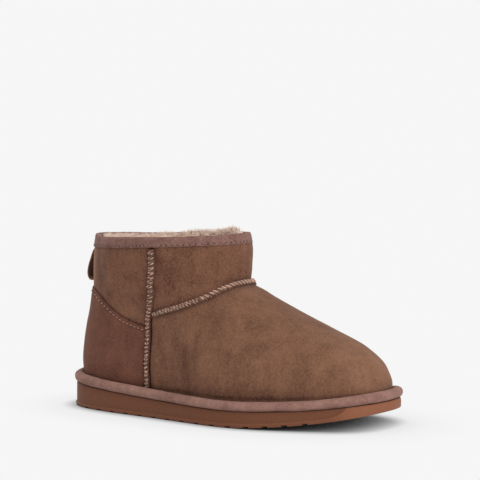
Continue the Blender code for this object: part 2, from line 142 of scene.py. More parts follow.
floor_paint, tree, output = new_material("floor_paint")
glow = BACKDROP
for reach, strength in SHADOWS:
    near = add_node(tree, "ShaderNodeAmbientOcclusion", {"samples": 12}, Distance=reach)
    glow = arithmetic(tree, "MULTIPLY", arithmetic(tree, "POWER", near.outputs["AO"], strength), glow)
shine = add_node(tree, "ShaderNodeEmission", Color=(1, 1, 1, 1), Strength=glow)
tree.links.new(shine.outputs[0], output.inputs["Surface"])

bpy.ops.mesh.primitive_plane_add(size=2 * FLOOR_HALF)
floor = bpy.context.object
floor.name = "floor"
floor.data.materials.append(floor_paint)
print("floor side in m:", 2 * FLOOR_HALF)

# %% [markdown]
# ## Soft light
#
# One wide lamp stands beyond the toe, so that the toe is the lightest part and the heel
# the darkest, with a painted highlight in the suede's tone on the toe as well. A weak lamp
# behind the heel and a painted highlight together draw the thin light edge on the shaft.
# The sky lights the boot less than it shows, which the Light Path node makes possible.

# %% Sky and lamps
SKY_LIGHT = 0.55
LAMPS = [
    # name, direction it comes from, strength, width in degrees
    ("toe_lamp", (0.86, -0.28, 0.55), 1.6, 50),
    ("heel_lamp", (-0.9, 0.35, 0.45), 0.5, 30),
    ("top_lamp", (0.1, -0.35, 1.0), 0.6, 70),
]

sky = bpy.data.worlds.new("sky")
sky.use_nodes = True
tree = sky.node_tree
tree.nodes.clear()
seen_sky = add_node(tree, "ShaderNodeBackground", Color=(1, 1, 1, 1), Strength=BACKDROP)
light_sky = add_node(tree, "ShaderNodeBackground", Color=(1, 1, 1, 1), Strength=SKY_LIGHT)
path = tree.nodes.new("ShaderNodeLightPath")
chosen = tree.nodes.new("ShaderNodeMixShader")
tree.links.new(path.outputs["Is Camera Ray"], chosen.inputs[0])
tree.links.new(light_sky.outputs[0], chosen.inputs[1])
tree.links.new(seen_sky.outputs[0], chosen.inputs[2])
output = tree.nodes.new("ShaderNodeOutputWorld")
tree.links.new(chosen.outputs[0], output.inputs["Surface"])
bpy.context.scene.world = sky
bpy.context.scene.view_settings.view_transform = "Standard"

for name, direction, strength, width in LAMPS:
    lamp_data = bpy.data.lights.new(name, "SUN")
    lamp_data.energy = strength
    lamp_data.angle = math.radians(width)
    lamp = bpy.data.objects.new(name, lamp_data)
    lamp.rotation_euler = Vector(direction).to_track_quat("Z", "Y").to_euler()
    bpy.context.scene.collection.objects.link(lamp)
print("lamps:", [row[0] for row in LAMPS])

# %% [markdown]
# ## The last in numbers
#
# A last is the form that a boot is made on. Here it is a short table: the sole's outline
# seen from above, and eleven sections from the feather edge up to the collar. A boot has
# few straight lines, so the tables are read with smooth curves. Places are measured from
# the back of the sole, and every piece is moved at the end so that the frame's origin
# lies under the middle of the sole.

# %% The sole's outline
SOLE_LENGTH = 268 * MM
SOLE_EDGE_MM = [
    # place, from the heel, towards the inner side
    ("heel back", 0, 0),
    ("heel outer corner", 9.4, -25.3),
    ("heel outer round", 20.5, -34),
    ("heel outer side", 35, -39.5),
    ("waist outer side", 80, -46.5),
    ("midfoot outer side", 129, -53.5),
    ("ball outer side", 172, -56.5),
    ("little toe", 204, -49.5),
    ("toe outer corner", 231, -39.5),
    ("toe outer end", 257, -24.5),
    ("toe outer round", 264.8, -11.5),
    ("toe end", 268, 3),
    ("toe inner round", 266.2, 20),
    ("toe inner corner", 259, 35.5),
    ("big toe", 242, 47.5),
    ("ball inner side", 209, 55),
    ("ball inner back", 177, 53.5),
    ("midfoot inner side", 134, 43.5),
    ("waist inner side", 91, 38.5),
    ("heel inner side", 37.5, 41),
    ("heel inner round", 20.5, 35.3),
    ("heel inner corner", 9.4, 26),
]
EDGE_CROWDING = 0.35
EDGE_STEPS = 1440


def closed_curve(points, shares):
    """Points at shares of the length of a smooth closed curve through the given points."""
    p = np.array(points, float)
    n = len(p)
    gap = np.linalg.norm(np.roll(p, -1, axis=0) - p, axis=1)
    matrix = np.zeros((n, n))
    right = np.zeros_like(p)
    for i in range(n):
        before, after = gap[i - 1], gap[i]
        following = (i + 1) % n
        matrix[i, i - 1] += after
        matrix[i, i] += 2 * (before + after)
        matrix[i, following] += before
        right[i] = 3 * (after * (p[i] - p[i - 1]) / before + before * (p[following] - p[i]) / after)
    slope = np.linalg.solve(matrix, right)
    start = np.concatenate([[0], np.cumsum(gap)])
    way = np.asarray(shares) * start[-1]
    i = np.clip(np.searchsorted(start, way, side="right") - 1, 0, n - 1)
    j = (i + 1) % n
    q = ((way - start[i]) / gap[i])[:, None]
    span = gap[i][:, None]
    first = (2 * q**3 - 3 * q**2 + 1) * p[i] + (q**3 - 2 * q**2 + q) * span * slope[i]
    second = (3 * q**2 - 2 * q**3) * p[j] + (q**3 - q**2) * span * slope[j]
    return first + second


def edge_share(turn):
    """Share of the edge's length that lies before a turn, which runs from 0 to 1."""
    return turn - EDGE_CROWDING * np.sin(4 * math.pi * turn) / (4 * math.pi)


def even_turns(count):
    return np.arange(count) / count


def round_read(table, turn):
    """Read a table of even steps round the boot."""
    place = (np.asarray(turn, float) % 1) * len(table)
    i = np.floor(place).astype(int) % len(table)
    share = place - np.floor(place)
    if table.ndim > 1:
        share = share[..., None]
    return table[i] * (1 - share) + table[(i + 1) % len(table)] * share


EDGE = closed_curve([(x * MM, y * MM) for _, x, y in SOLE_EDGE_MM], edge_share(even_turns(EDGE_STEPS)))
EDGE_RUN = np.roll(EDGE, -1, axis=0) - np.roll(EDGE, 1, axis=0)
EDGE_RUN /= np.linalg.norm(EDGE_RUN, axis=1)[:, None]
EDGE_OUT = np.column_stack([EDGE_RUN[:, 1], -EDGE_RUN[:, 0]])
MIDDLE = (EDGE.max(axis=0) + EDGE.min(axis=0)) / 2


def sole_edge(turn, inset):
    """Point of the sole's outline, moved in by the inset."""
    return round_read(EDGE, turn) - inset * round_read(EDGE_OUT, turn)


print("sole's length and width in mm:", np.round(np.ptp(EDGE, axis=0) / MM, 1))

# %% [markdown]
# ## Heights along the sole, and the sections of the upper
#
# The sole is thick at the heel, thin at the ball, and lifts at the toe. Above it, each
# section of the upper lies in a plane through a back point and a front point, and turns
# from the foot's outline into an oval on its way up to the collar.

# %% Sections
SOLE_TOP_MM = [(0, 19.0), (0.2, 15.8), (0.4, 13.3), (0.6, 12.0), (0.8, 14.0), (1, 19.9)]
TOE_SPRING = 12.7 * MM
SPRING_START = 0.58
UPPER_INSET = 7.3 * MM
SECTIONS_MM = [
    # back x, back z, front x, front z, outer half width, inner half width, roundness
    ("feather edge", 7.3, 18.9, 260.7, 19.4, 49.2, 48.0, 0.0),
    ("over the welt", 6.3, 27.0, 263.2, 28.6, 49.9, 48.7, 0.0),
    ("toe wall", 5.4, 38.0, 258.4, 41.0, 50.0, 48.5, 0.03),
    ("toe cap", 6.2, 50.0, 243.4, 54.0, 47.5, 46.0, 0.10),
    ("toe top", 8.0, 62.0, 219.1, 65.5, 45.0, 43.5, 0.25),
    ("vamp", 11.2, 75.0, 188.0, 79.2, 43.5, 42.5, 0.45),
    ("instep", 14.0, 86.0, 161.5, 91.5, 44.0, 43.0, 0.65),
    ("front seam", 14.9, 95.0, 147.5, 100.5, 45.0, 44.0, 0.80),
    ("ankle", 15.1, 106.0, 148.1, 110.5, 46.8, 46.0, 0.92),
    ("shaft", 15.7, 119.0, 148.7, 124.0, 47.8, 47.6, 0.97),
    ("collar rim", 19.4, 131.0, 145.4, 136.0, 47.9, 47.9, 1.0),
]
SECTION_ROWS = [(level, *row[1:]) for level, row in enumerate(SECTIONS_MM)]
TOP_LEVEL = len(SECTIONS_MM) - 1
SOLE_SAG_LEVELS = 4
OVAL_CROWDING = 0.45


def read(table, at, column=1):
    """Read a table at some places, on a smooth curve that never overshoots its rows."""
    place = np.array([row[0] for row in table], float)
    value = np.array([row[column] for row in table], float)
    step = np.diff(place)
    rise = np.diff(value) / step
    slope = np.zeros(len(place))
    slope[0], slope[-1] = rise[0], rise[-1]
    both = rise[:-1] * rise[1:]
    same = both > 0
    slope[1:-1][same] = 2 * both[same] / (rise[:-1] + rise[1:])[same]
    at = np.clip(at, place[0], place[-1])
    i = np.clip(np.searchsorted(place, at, side="right") - 1, 0, len(step) - 1)
    q = (at - place[i]) / step[i]
    start = (2 * q**3 - 3 * q**2 + 1) * value[i] + (q**3 - 2 * q**2 + q) * step[i] * slope[i]
    end = (3 * q**2 - 2 * q**3) * value[i + 1] + (q**3 - q**2) * step[i] * slope[i + 1]
    return start + end


def sole_top(x):
    return read(SOLE_TOP_MM, x / SOLE_LENGTH) * MM


def sole_bottom(x):
    share = (x / SOLE_LENGTH - SPRING_START) / (1 - SPRING_START)
    return TOE_SPRING * np.clip(share, 0, 1) ** 2


FOOT = EDGE - UPPER_INSET * EDGE_OUT
FOOT_SHARE = (FOOT[:, 0] - FOOT[:, 0].min()) / np.ptp(FOOT[:, 0])
FOOT_SIDE = np.where(FOOT[:, 1] < 0, FOOT[:, 1] / -FOOT[:, 1].min(), FOOT[:, 1] / FOOT[:, 1].max())


def bare_point(level, turn):
    """Point of the upper before any seam or crease shapes it."""
    level, turn = np.broadcast_arrays(np.asarray(level, float), np.asarray(turn, float) % 1)
    back_x, back_z, front_x, front_z, outer_half, inner_half, roundness = (
        read(SECTION_ROWS, level, column) for column in range(1, 8)
    )
    half_way = 2 * np.minimum(edge_share(turn), 1 - edge_share(turn))
    crowded = half_way + OVAL_CROWDING * half_way * (1 - half_way)
    oval_share = (1 - np.cos(math.pi * crowded)) / 2
    oval_side = np.sin(math.pi * crowded) * np.where(turn <= 0.5, -1, 1)
    share = round_read(FOOT_SHARE, turn) * (1 - roundness) + oval_share * roundness
    side = round_read(FOOT_SIDE, turn) * (1 - roundness) + oval_side * roundness
    x = back_x + (front_x - back_x) * share
    y = side * np.where(side < 0, outer_half, inner_half)
    z = back_z + (front_z - back_z) * share
    sole_ends = sole_top(back_x * MM) * (1 - share) + sole_top(front_x * MM) * share
    sag = (sole_top(x * MM) - sole_ends) * np.clip(1 - level / SOLE_SAG_LEVELS, 0, 1) ** 2
    return np.stack([x * MM, y * MM, z * MM + sag], axis=-1)


def outward(level, turn):
    """Direction that points out of the upper."""
    turn_step, level_step = 0.003, 0.03
    ahead = bare_point(level, turn + turn_step) - bare_point(level, turn - turn_step)
    higher = bare_point(np.minimum(level + level_step, TOP_LEVEL), turn)
    out = np.cross(ahead, higher - bare_point(np.maximum(level - level_step, 0), turn))
    return out / np.linalg.norm(out, axis=-1)[..., None]


collar = bare_point(TOP_LEVEL, even_turns(360))
print("collar's length and width in mm:", np.round(np.ptp(collar, axis=0)[:2] / MM, 1))

# %% [markdown]
# ## Where the seams run
#
# Four panels make the upper: a vamp over the foot, a front and a back for the shaft, and
# a counter round the heel. Two upright seams join front and back, and one seam runs over
# the instep from side to side. A route is a list of levels, which are rows of the table
# above, and turns, which are shares of the way round from the heel.

# %% Seam routes
SIDE_SEAM = [
    # level, turn
    (0.8, 0.188), (2.3, 0.191), (3.05, 0.194), (3.76, 0.198), (4.42, 0.203),
    (5.07, 0.212), (5.73, 0.222), (6.8, 0.2345), (7.8, 0.2345), (9.26, 0.233),
]
VAMP_SEAM = [
    # turn, level
    (0.213, 4.88), (0.231, 5.12), (0.25, 5.32), (0.283, 5.66), (0.309, 5.92),
    (0.339, 6.25), (0.374, 6.53), (0.43, 6.83), (0.5, 6.93),
]
INNER_RISE = [(0.5, 0), (0.56, 0.06), (0.62, 0.24), (0.68, 0.14), (0.74, 0), (1, 0)]
COUNTER_EDGE = [
    # turn, level
    (0, 6.85), (0.08, 6.78), (0.109, 6.56), (0.128, 6.04), (0.147, 5.43),
    (0.157, 5.06), (0.167, 4.76), (0.177, 4.57), (0.197, 4.27),
]
COUNTER_END = 0.0026
COUNTER_REACH = 0.19
LEVEL_NUDGE = 0.1
TURN_NUDGE = 0.002
VAMP_START = 0.2165
TRIM_FOOT = 6.2 * MM


def half_turn(turn):
    """The same place on the outer side, because both sides are sewn alike."""
    turn = np.asarray(turn, float) % 1
    return np.minimum(turn, 1 - turn)


def vamp_level(turn):
    """Level of the seam over the instep. It climbs a little further on the inner side."""
    return read(VAMP_SEAM, half_turn(turn)) + read(INNER_RISE, np.asarray(turn, float) % 1)


def foot_level(turn):
    """Level at which the seams come out of the welt."""
    return TRIM_FOOT / (bare_point(1, turn) - bare_point(0, turn))[..., 2]


def spread_route(level, turn, step):
    """Spread a route's points evenly along its length, and measure the way along it."""
    p = bare_point(level, turn)
    way = np.concatenate([[0], np.cumsum(np.linalg.norm(np.diff(p, axis=0), axis=1))])
    even = np.linspace(0, way[-1], max(2, int(round(way[-1] / step)) + 1))
    return np.interp(even, way, level), np.interp(even, way, turn), even


def side_route(inner, step):
    """Levels, turns and the way along one upright seam, from the welt to the binding."""
    level = np.linspace(foot_level(SIDE_SEAM[0][1]), SIDE_SEAM[-1][0], 200)
    turn = read(SIDE_SEAM, level)
    return spread_route(level, 1 - turn if inner else turn, step)


def vamp_route(step):
    """The same for the seam over the instep, from the outer side to the inner side."""
    turn = np.linspace(VAMP_START, 1 - VAMP_START, 400)
    return spread_route(vamp_level(turn), turn, step)


def counter_route(step, below=0.0):
    """The counter's upper edge, or a line that much below it."""
    turn = np.linspace(-COUNTER_REACH, COUNTER_REACH, 300)
    level = read(COUNTER_EDGE, np.abs(turn))
    for _ in range(4):
        turn = turn / np.abs(turn).max() * (read(SIDE_SEAM, level[-1]) - COUNTER_END)
        level = read(COUNTER_EDGE, np.abs(turn))
    p, out = bare_point(level, turn), outward(level, turn)
    run = np.gradient(p, axis=0)
    down = np.cross(run / np.linalg.norm(run, axis=1)[:, None], out)
    rise = bare_point(level + LEVEL_NUDGE, turn) - bare_point(level - LEVEL_NUDGE, turn)
    around = bare_point(level, turn + TURN_NUDGE) - bare_point(level, turn - TURN_NUDGE)
    up_share = np.einsum("ij,ij->i", down, rise) / np.einsum("ij,ij->i", rise, rise) * 2 * LEVEL_NUDGE
    side_share = np.einsum("ij,ij->i", down, around) / np.einsum("ij,ij->i", around, around) * 2 * TURN_NUDGE
    sign = -np.sign(up_share)
    return spread_route(level + sign * up_share * below, turn + sign * side_share * below, step)


routes = {"side": side_route(False, MM), "vamp": vamp_route(MM), "counter": counter_route(MM)}
for name, route in routes.items():
    print(name, "seam's length in mm:", round(route[2][-1] / MM))

# %% [markdown]
# ## Creases and hollows in the suede
#
# Sheepskin is thick and springy. It is drawn in where thread holds it, swells between
# the seams, and keeps a few shallow dents from being handled. Each dent is a soft trough
# along a short line, and a ridge is a trough with a negative depth. The
# distance to the nearest seam comes from a KD-tree, which finds near points quickly.

# %% Relief of the skin
CREASES = [
    # start (level, turn), end (level, turn), width mm, depth mm
    ("toe crease outer", (1.1, 0.400), (1.9, 0.416), 3.0, 0.45),
    ("toe ridge outer", (1.1, 0.412), (2.0, 0.429), 2.4, -0.40),
    ("ball dimple outer", (1.0, 0.300), (1.8, 0.306), 5.0, 0.55),
    ("waist hollow outer", (1.2, 0.236), (3.0, 0.246), 10.0, 0.70),
    ("vamp break outer", (3.6, 0.335), (5.0, 0.352), 9.0, 0.60),
    ("vamp break top", (4.9, 0.420), (5.0, 0.560), 8.0, 0.12),
    ("instep roll", (6.2, 0.420), (6.2, 0.580), 6.0, -0.12),
    ("instep fullness", (5.8, 0.550), (3.4, 0.540), 15.0, -0.60),
    ("shaft ripple low", (6.1, 0.248), (6.75, 0.300), 2.6, 0.35),
    ("shaft ripple high", (6.9, 0.252), (7.35, 0.300), 2.8, 0.28),
    ("shaft fold front", (7.2, 0.330), (9.0, 0.318), 7.0, 0.55),
    ("shaft fold back", (6.9, 0.140), (9.0, 0.128), 6.0, 0.65),
    ("shaft fold heel", (7.2, 0.062), (9.0, 0.060), 5.0, 0.45),
    ("heel hollow outer", (2.4, 0.110), (4.2, 0.118), 9.0, 0.45),
    ("waist hollow inner", (1.2, 0.764), (3.2, 0.756), 11.0, 0.80),
    ("vamp break inner", (3.4, 0.660), (4.9, 0.645), 9.0, 0.60),
    ("ball dimple inner", (1.0, 0.690), (1.8, 0.684), 5.0, 0.50),
    ("toe crease inner", (1.1, 0.590), (1.9, 0.576), 3.0, 0.40),
    ("shaft fold inner front", (7.2, 0.680), (9.0, 0.690), 7.0, 0.50),
    ("shaft fold inner back", (7.0, 0.865), (9.0, 0.878), 6.0, 0.55),
    ("heel hollow inner", (2.2, 0.885), (4.0, 0.880), 9.0, 0.50),
]
SEAM_PULL = 0.8 * MM
SEAM_PULL_WIDTH = 5.0 * MM
SLOT_OFFSET = 2.0 * MM
SLOT_DEPTH = 1.7 * MM
SLOT_WIDTH = 0.9 * MM
SLOT_TOP_LEVEL = 4.7
WELT_PULL = 0.3 * MM
WELT_PULL_WIDTH = 4.0 * MM
WELT_PULL_LEVEL = 0.75
LUMPS = [(26 * MM, 0.42 * MM), (11 * MM, 0.16 * MM)]

seam_points = np.concatenate(
    [bare_point(*route[:2]) for route in (side_route(False, MM), side_route(True, MM), vamp_route(MM))]
)


def near_points(places):
    """A KD-tree of some places."""
    made = kdtree.KDTree(len(places))
    for index, place in enumerate(places):
        made.insert(place, index)
    made.balance()
    return made


def distance_to(found_in, points):
    """How far each point is from the nearest place of a KD-tree."""
    flat = points.reshape(-1, 3)
    return np.array([found_in.find(p)[2] for p in flat]).reshape(points.shape[:-1])


def slot_places():
    """The line in front of each upright seam where the vamp dives under the roll."""
    level = np.linspace(0.6, SLOT_TOP_LEVEL, 160)
    turn = read(SIDE_SEAM, level)
    around = bare_point(level, turn + TURN_NUDGE) - bare_point(level, turn - TURN_NUDGE)
    forward = SLOT_OFFSET * 2 * TURN_NUDGE / np.linalg.norm(around, axis=1)
    return np.concatenate([bare_point(level, turn + forward), bare_point(level, 1 - turn - forward)])


seam_tree = near_points(seam_points)
slot_tree = near_points(slot_places())
counter_tree = near_points(bare_point(*counter_route(0.5 * MM)[:2]))


def lumps(points, size, seed=0.0):
    """Soft random swelling, from -1 to 1, with hills of about the given size."""
    flat = points.reshape(-1, 3) / size + seed
    return np.array([noise.noise(p) for p in flat]).reshape(points.shape[:-1])


def bell(distance, width):
    """A soft bump: 1 at the middle, about a third at its width."""
    return np.exp(-((distance / width) ** 2))


def relief(level, turn, points):
    """How far the skin stands out of the bare form."""
    push = -SEAM_PULL * bell(distance_to(seam_tree, points), SEAM_PULL_WIDTH)
    push -= SLOT_DEPTH * bell(distance_to(slot_tree, points), SLOT_WIDTH)
    push -= WELT_PULL * bell(points[..., 2] - bare_point(WELT_PULL_LEVEL, turn)[..., 2], WELT_PULL_WIDTH)
    for size, height in LUMPS:
        push += height * lumps(points, size, seed=height / MM)
    for _, start, end, width, depth in CREASES:
        a, b = bare_point(*start), bare_point(*end)
        share = np.clip((points - a) @ (b - a) / ((b - a) @ (b - a)), 0, 1)
        away = np.linalg.norm(points - a - share[..., None] * (b - a), axis=-1)
        push -= depth * MM * bell(away, width * MM)
    return push


def skin_point(level, turn, stand=0.0):
    """Point that stands out of the finished skin by the given distance."""
    level, turn = np.broadcast_arrays(np.asarray(level, float), np.asarray(turn, float))
    points = bare_point(level, turn)
    push = relief(level, turn, points) + stand
    return points + outward(level, turn) * push[..., None]


print("creases and ridges:", len(CREASES), "deepest in mm:", max(row[4] for row in CREASES))

# %% [markdown]
# ## Suede
#
# Suede is the flesh side of a hide, brushed into a nap. From afar it has soft blotches,
# nearer it has streaks where the nap lies this way or that, and close up it is a fine
# grain. One noise texture would show a single size of spot, so five of them are added up,
# from 38 mm down to the grain, and one of them is stretched along the brushing. A number
# kept on the mesh, its tone, adds painted shade and painted highlight to a place. The sheen
# of the Principled shader gives the pale bloom that cloth and suede have where they turn away.

# %% Suede material
DARK_SHARES = (0.34, 0.27, 0.29)
LIGHT_SHARES = (1.66, 1.74, 1.70)
BRUSHING = (1, 1, 0.35)
NAP_SIZE = 0.6 * MM


def suede(name, colour, contrast=1.0, grain_mm=1.1, bump_mm=0.3, sheen=0.10, tone=True):
    """A napped leather: its middle colour, and how strongly its blotches show."""
    material, tree, output = new_material(name)
    place = tree.nodes.new("ShaderNodeTexCoord").outputs["Object"]
    brushed = add_node(tree, "ShaderNodeMapping", Vector=place, Scale=BRUSHING)
    layers = [
        # how wide its spots are, share of the contrast, place or brushed place
        (38 * MM, 0.50, place),
        (15 * MM, 0.55, place),
        (6.5 * MM, 0.40, brushed.outputs[0]),
        (2.4 * MM, 0.32, place),
        (grain_mm * MM, 0.95, place),
    ]
    total = 0.5
    for size, share, source in layers:
        spots = add_node(tree, "ShaderNodeTexNoise", Vector=source, Scale=1 / size, Detail=3, Roughness=0.6)
        centred = arithmetic(tree, "SUBTRACT", spots.outputs["Fac"], 0.5)
        total = arithmetic(tree, "ADD", total, arithmetic(tree, "MULTIPLY", centred, share * contrast))
    if tone:
        painted = add_node(tree, "ShaderNodeAttribute", {"attribute_name": "tone"})
        total = arithmetic(tree, "ADD", total, painted.outputs["Fac"])
    mixed = add_node(tree, "ShaderNodeMix", {"data_type": "RGBA"}, Factor=total)
    dark = [channel * share for channel, share in zip(colour, DARK_SHARES)]
    light = [channel * share for channel, share in zip(colour, LIGHT_SHARES)]
    for socket in mixed.inputs:
        if socket.name == "A" and socket.type == "RGBA":
            socket.default_value = (*dark, 1)
        if socket.name == "B" and socket.type == "RGBA":
            socket.default_value = (*light, 1)
    blended = [socket for socket in mixed.outputs if socket.type == "RGBA"][0]
    nap = add_node(tree, "ShaderNodeTexNoise", Vector=place, Scale=1 / NAP_SIZE, Detail=4, Roughness=0.7)
    bump = add_node(tree, "ShaderNodeBump", Height=nap.outputs["Fac"], Distance=bump_mm * MM, Strength=0.6)
    shader = add_node(
        tree,
        "ShaderNodeBsdfPrincipled",
        Base_Color=blended,
        Normal=bump.outputs["Normal"],
        Roughness=0.95,
        Specular_IOR_Level=0.15,
        Sheen_Weight=sheen,
        Sheen_Roughness=0.45,
        Sheen_Tint=(1.0, 0.80, 0.66, 1),
    )
    tree.links.new(shader.outputs[0], output.inputs["Surface"])
    return material


vamp_suede = suede("vamp_suede", (0.170, 0.080, 0.048))
shaft_suede = suede("shaft_suede", (0.160, 0.072, 0.0435), contrast=1.15)
heel_suede = suede("heel_suede", (0.143, 0.056, 0.036), contrast=0.9)
binding_suede = suede("binding_suede", (0.205, 0.108, 0.089), grain_mm=1.3, contrast=1.15, bump_mm=0.5)
seam_suede = suede("seam_suede", (0.120, 0.052, 0.033), grain_mm=0.9)
print("suedes:", [m.name for m in bpy.data.materials if "suede" in m.name])

# %% [markdown]
# ## Making a piece from rings
#
# Almost every part of a boot is a skin over rings: a ring round the foot, or a slice
# across a strip. Such a skin could be modelled by hand from an extruded edge, but then no
# value could be changed later. Here a grid of points becomes four-sided faces, in rows
# and columns, and arrays of numbers make this quick, even for the finest mesh.

# %% Pieces from grids
def grid_faces(rows, columns, wrap_rows=False, wrap_columns=True):
    """Faces between neighbouring rows and columns, as index numbers."""
    last_row = rows if wrap_rows else rows - 1
    last_column = columns if wrap_columns else columns - 1
    r, c = np.meshgrid(np.arange(last_row), np.arange(last_column), indexing="ij")
    above, beside = (r + 1) % rows, (c + 1) % columns
    corners = (r * columns + c, r * columns + beside, above * columns + beside, above * columns + c)
    return np.stack(corners, axis=-1).reshape(-1, 4).tolist()


def make_piece(name, points, faces, material, slot, stands_for=(), turn_out=False):
    """A smooth mesh that rides with the boot. Its points are measured from the heel, and
    turn_out makes all its faces look outwards."""
    moved = np.asarray(points, float).reshape(-1, 3) - (MIDDLE[0], MIDDLE[1], 0)
    mesh = bpy.data.meshes.new(name)
    mesh.from_pydata(moved.tolist(), [], faces)
    if turn_out:
        form = bmesh.new()
        form.from_mesh(mesh)
        bmesh.ops.recalc_face_normals(form, faces=form.faces[:])
        form.to_mesh(mesh)
        form.free()
    mesh.materials.append(material)
    mesh.shade_smooth()
    made = bpy.data.objects.new(name, mesh)
    bpy.context.scene.collection.objects.link(made)
    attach(made, "root")
    if stands_for:
        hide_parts(*stands_for)
    print(name, "has", sum(len(face) - 2 for face in faces), "triangles")
    return made


def set_tone(made, tone):
    """Keep a number for each point of the mesh, which the material reads."""
    attribute = made.data.attributes.new("tone", "FLOAT", "POINT")
    attribute.data.foreach_set("value", np.asarray(tone, np.float32).ravel())


def rounded(profile, rounds):
    """Cut the corners of a closed outline again and again until it is smooth."""
    p = np.array(profile, float)
    for _ in range(rounds):
        following = np.roll(p, -1, axis=0)
        pairs = [0.75 * p + 0.25 * following, 0.25 * p + 0.75 * following]
        p = np.stack(pairs, axis=1).reshape(-1, p.shape[1])
    return p


print("faces of a ring of 8 points over 3 rows:", len(grid_faces(3, 8)))

# %% [markdown]
# ## The upper
#
# The upper is one skin with the thickness of real sheepskin leather. Four panels could be
# cut and joined as on the real boot, but one skin leaves no cracks between them, so the
# panels are told apart by their material alone. A grid of points gets its wall from the
# Solidify modifier. The columns crowd together at the upright
# seams, where the leather dives under the roll. Its tone is painted light and shade:
# painted shade near the thread and the welt and in a few folds and hollows, painted
# highlight on the toe and on the edge of the shaft.

# %% Painted light and shade of the upper
LIGHT_AND_SHADE_PATCHES = [
    # name, level, turn, reach mm, tone: painted highlight above 0, painted shade below 0
    ("shaft's back edge", 8.7, 0.092, 8, 0.50),
    ("shaft's back edge low", 7.5, 0.088, 9, 0.45),
    ("shaft back shade", 8.0, 0.135, 11, -0.12),
    ("shaft back light", 7.6, 0.160, 10, 0.06),
    ("beside the seam", 7.4, 0.205, 8, -0.10),
    ("shaft front shade", 7.9, 0.262, 12, -0.06),
    ("shaft front light", 7.6, 0.325, 13, 0.07),
    ("over the vamp seam", 6.5, 0.262, 10, -0.10),
    ("toe top", 3.0, 0.440, 34, 0.10),
    ("toe front", 2.0, 0.490, 30, 0.04),
    ("toe's foot", 1.1, 0.420, 16, 0.10),
    ("waist shade", 2.4, 0.235, 20, -0.08),
    ("ball shade", 1.6, 0.300, 18, -0.06),
    ("vamp light", 3.2, 0.300, 16, 0.05),
]
PAINTED_SHADE_BY_LINES = [
    # the line, how much darker its painted shade is, reach
    (seam_tree, 0.34, 4.2 * MM),
    (slot_tree, 0.45, 1.1 * MM),
    (counter_tree, 0.35, 1.0 * MM),
]
PAINTED_SHADE_BY_WELT = [
    # how much darker its painted shade is, reach over the welt
    (0.13, 8 * MM),
    (0.24, 1.3 * MM),
]
WELT_SHADE_LEVEL = 0.72
SEAM_TURN = 0.205
SEAM_CROWDING = 2.6
SEAM_SPREAD = 0.026


def crowded_turns(count):
    """Turns that lie more than three times closer together at the two upright seams."""
    fine = np.linspace(0, 1, 4001)
    at_seams = bell(fine - SEAM_TURN, SEAM_SPREAD) + bell(fine - (1 - SEAM_TURN), SEAM_SPREAD)
    density = 1 + SEAM_CROWDING * at_seams
    filled = np.concatenate([[0], np.cumsum((density[1:] + density[:-1]) / 2)])
    return np.interp(even_turns(count), filled / filled[-1], fine)


def painted_tone(turn, points):
    """The painted light and shade of the suede: painted shade along lines first, then the patches of painted
    shade and highlight.
    """
    tone = np.zeros(points.shape[:-1])
    for line, amount, reach in PAINTED_SHADE_BY_LINES:
        tone -= amount * bell(distance_to(line, points), reach)
    over_welt = points[..., 2] - bare_point(WELT_SHADE_LEVEL, turn)[..., 2]
    for amount, reach in PAINTED_SHADE_BY_WELT:
        tone -= amount * bell(over_welt, reach)
    for _, at_level, at_turn, reach, amount in LIGHT_AND_SHADE_PATCHES:
        for mirrored in (at_turn, 1 - at_turn):
            centre = bare_point(at_level, mirrored)
            tone += amount * bell(np.linalg.norm(points - centre, axis=-1), reach * MM)
    return tone


print("painted patches on each side:", len(LIGHT_AND_SHADE_PATCHES))

# %% Upper skin
UPPER_WALL = 2.5 * MM
UPPER_COLUMNS = 400
UPPER_ROWS = 112

upper_turns = crowded_turns(UPPER_COLUMNS)
upper_levels = np.linspace(0, TOP_LEVEL, UPPER_ROWS)
level, turn = np.meshgrid(upper_levels, upper_turns, indexing="ij")
bare = bare_point(level, turn)
upper = make_piece(
    "upper_skin",
    skin_point(level, turn),
    grid_faces(UPPER_ROWS, UPPER_COLUMNS),
    shaft_suede,
    "suede",
    stands_for=["upper"],
)
set_tone(upper, painted_tone(turn, bare))
upper.data.materials.append(vamp_suede)
in_front = half_turn(turn) > read(SIDE_SEAM, level)
under_seam = level < vamp_level(turn)
is_vamp = (in_front & under_seam)[:-1].ravel()
upper.data.polygons.foreach_set("material_index", is_vamp.astype(np.int32))
wall = upper.modifiers.new("wall", "SOLIDIFY")
wall.thickness = UPPER_WALL
wall.offset = -1
print("faces in the vamp:", int(is_vamp.sum()))

# %% [markdown]
# ## Seam rolls
#
# At the seams the two edges are turned outwards and wrapped with thread, which gives a
# round welted roll. A curve with a bevel would give a round tube, but the roll is flat
# underneath and changes its width, so a half-round slice follows the route instead. It
# swells a little between two turns of the thread. `on_roll` finds a place on that roll,
# so that the thread can lie on it.

# %% Rolls
SIDE_WIDTH_MM = [(0, 3.4), (50, 3.7), (66, 5.2), (140, 5.4)]
VAMP_WIDTH_MM = [(0, 3.4), (20, 4.2), (40, 4.6), (500, 4.6)]
SIDE_ROLL = {
    "widths": SIDE_WIDTH_MM,
    "height": 1.9 * MM,
    "seat": 0.3 * MM,
    "pitch": 3.8 * MM,
    "swell": 0.16,
    "slant": 0.5,
}
VAMP_ROLL = {
    "widths": VAMP_WIDTH_MM,
    "height": 2.1 * MM,
    "seat": 0.4 * MM,
    "pitch": 4.2 * MM,
    "swell": 0.14,
    "slant": 0.9,
}
ROLL_SQUARENESS = 2.6
ROLL_SINK = 0.3 * MM
ROLL_STEPS = 14
ROLL_STEP_LENGTH = 0.55 * MM


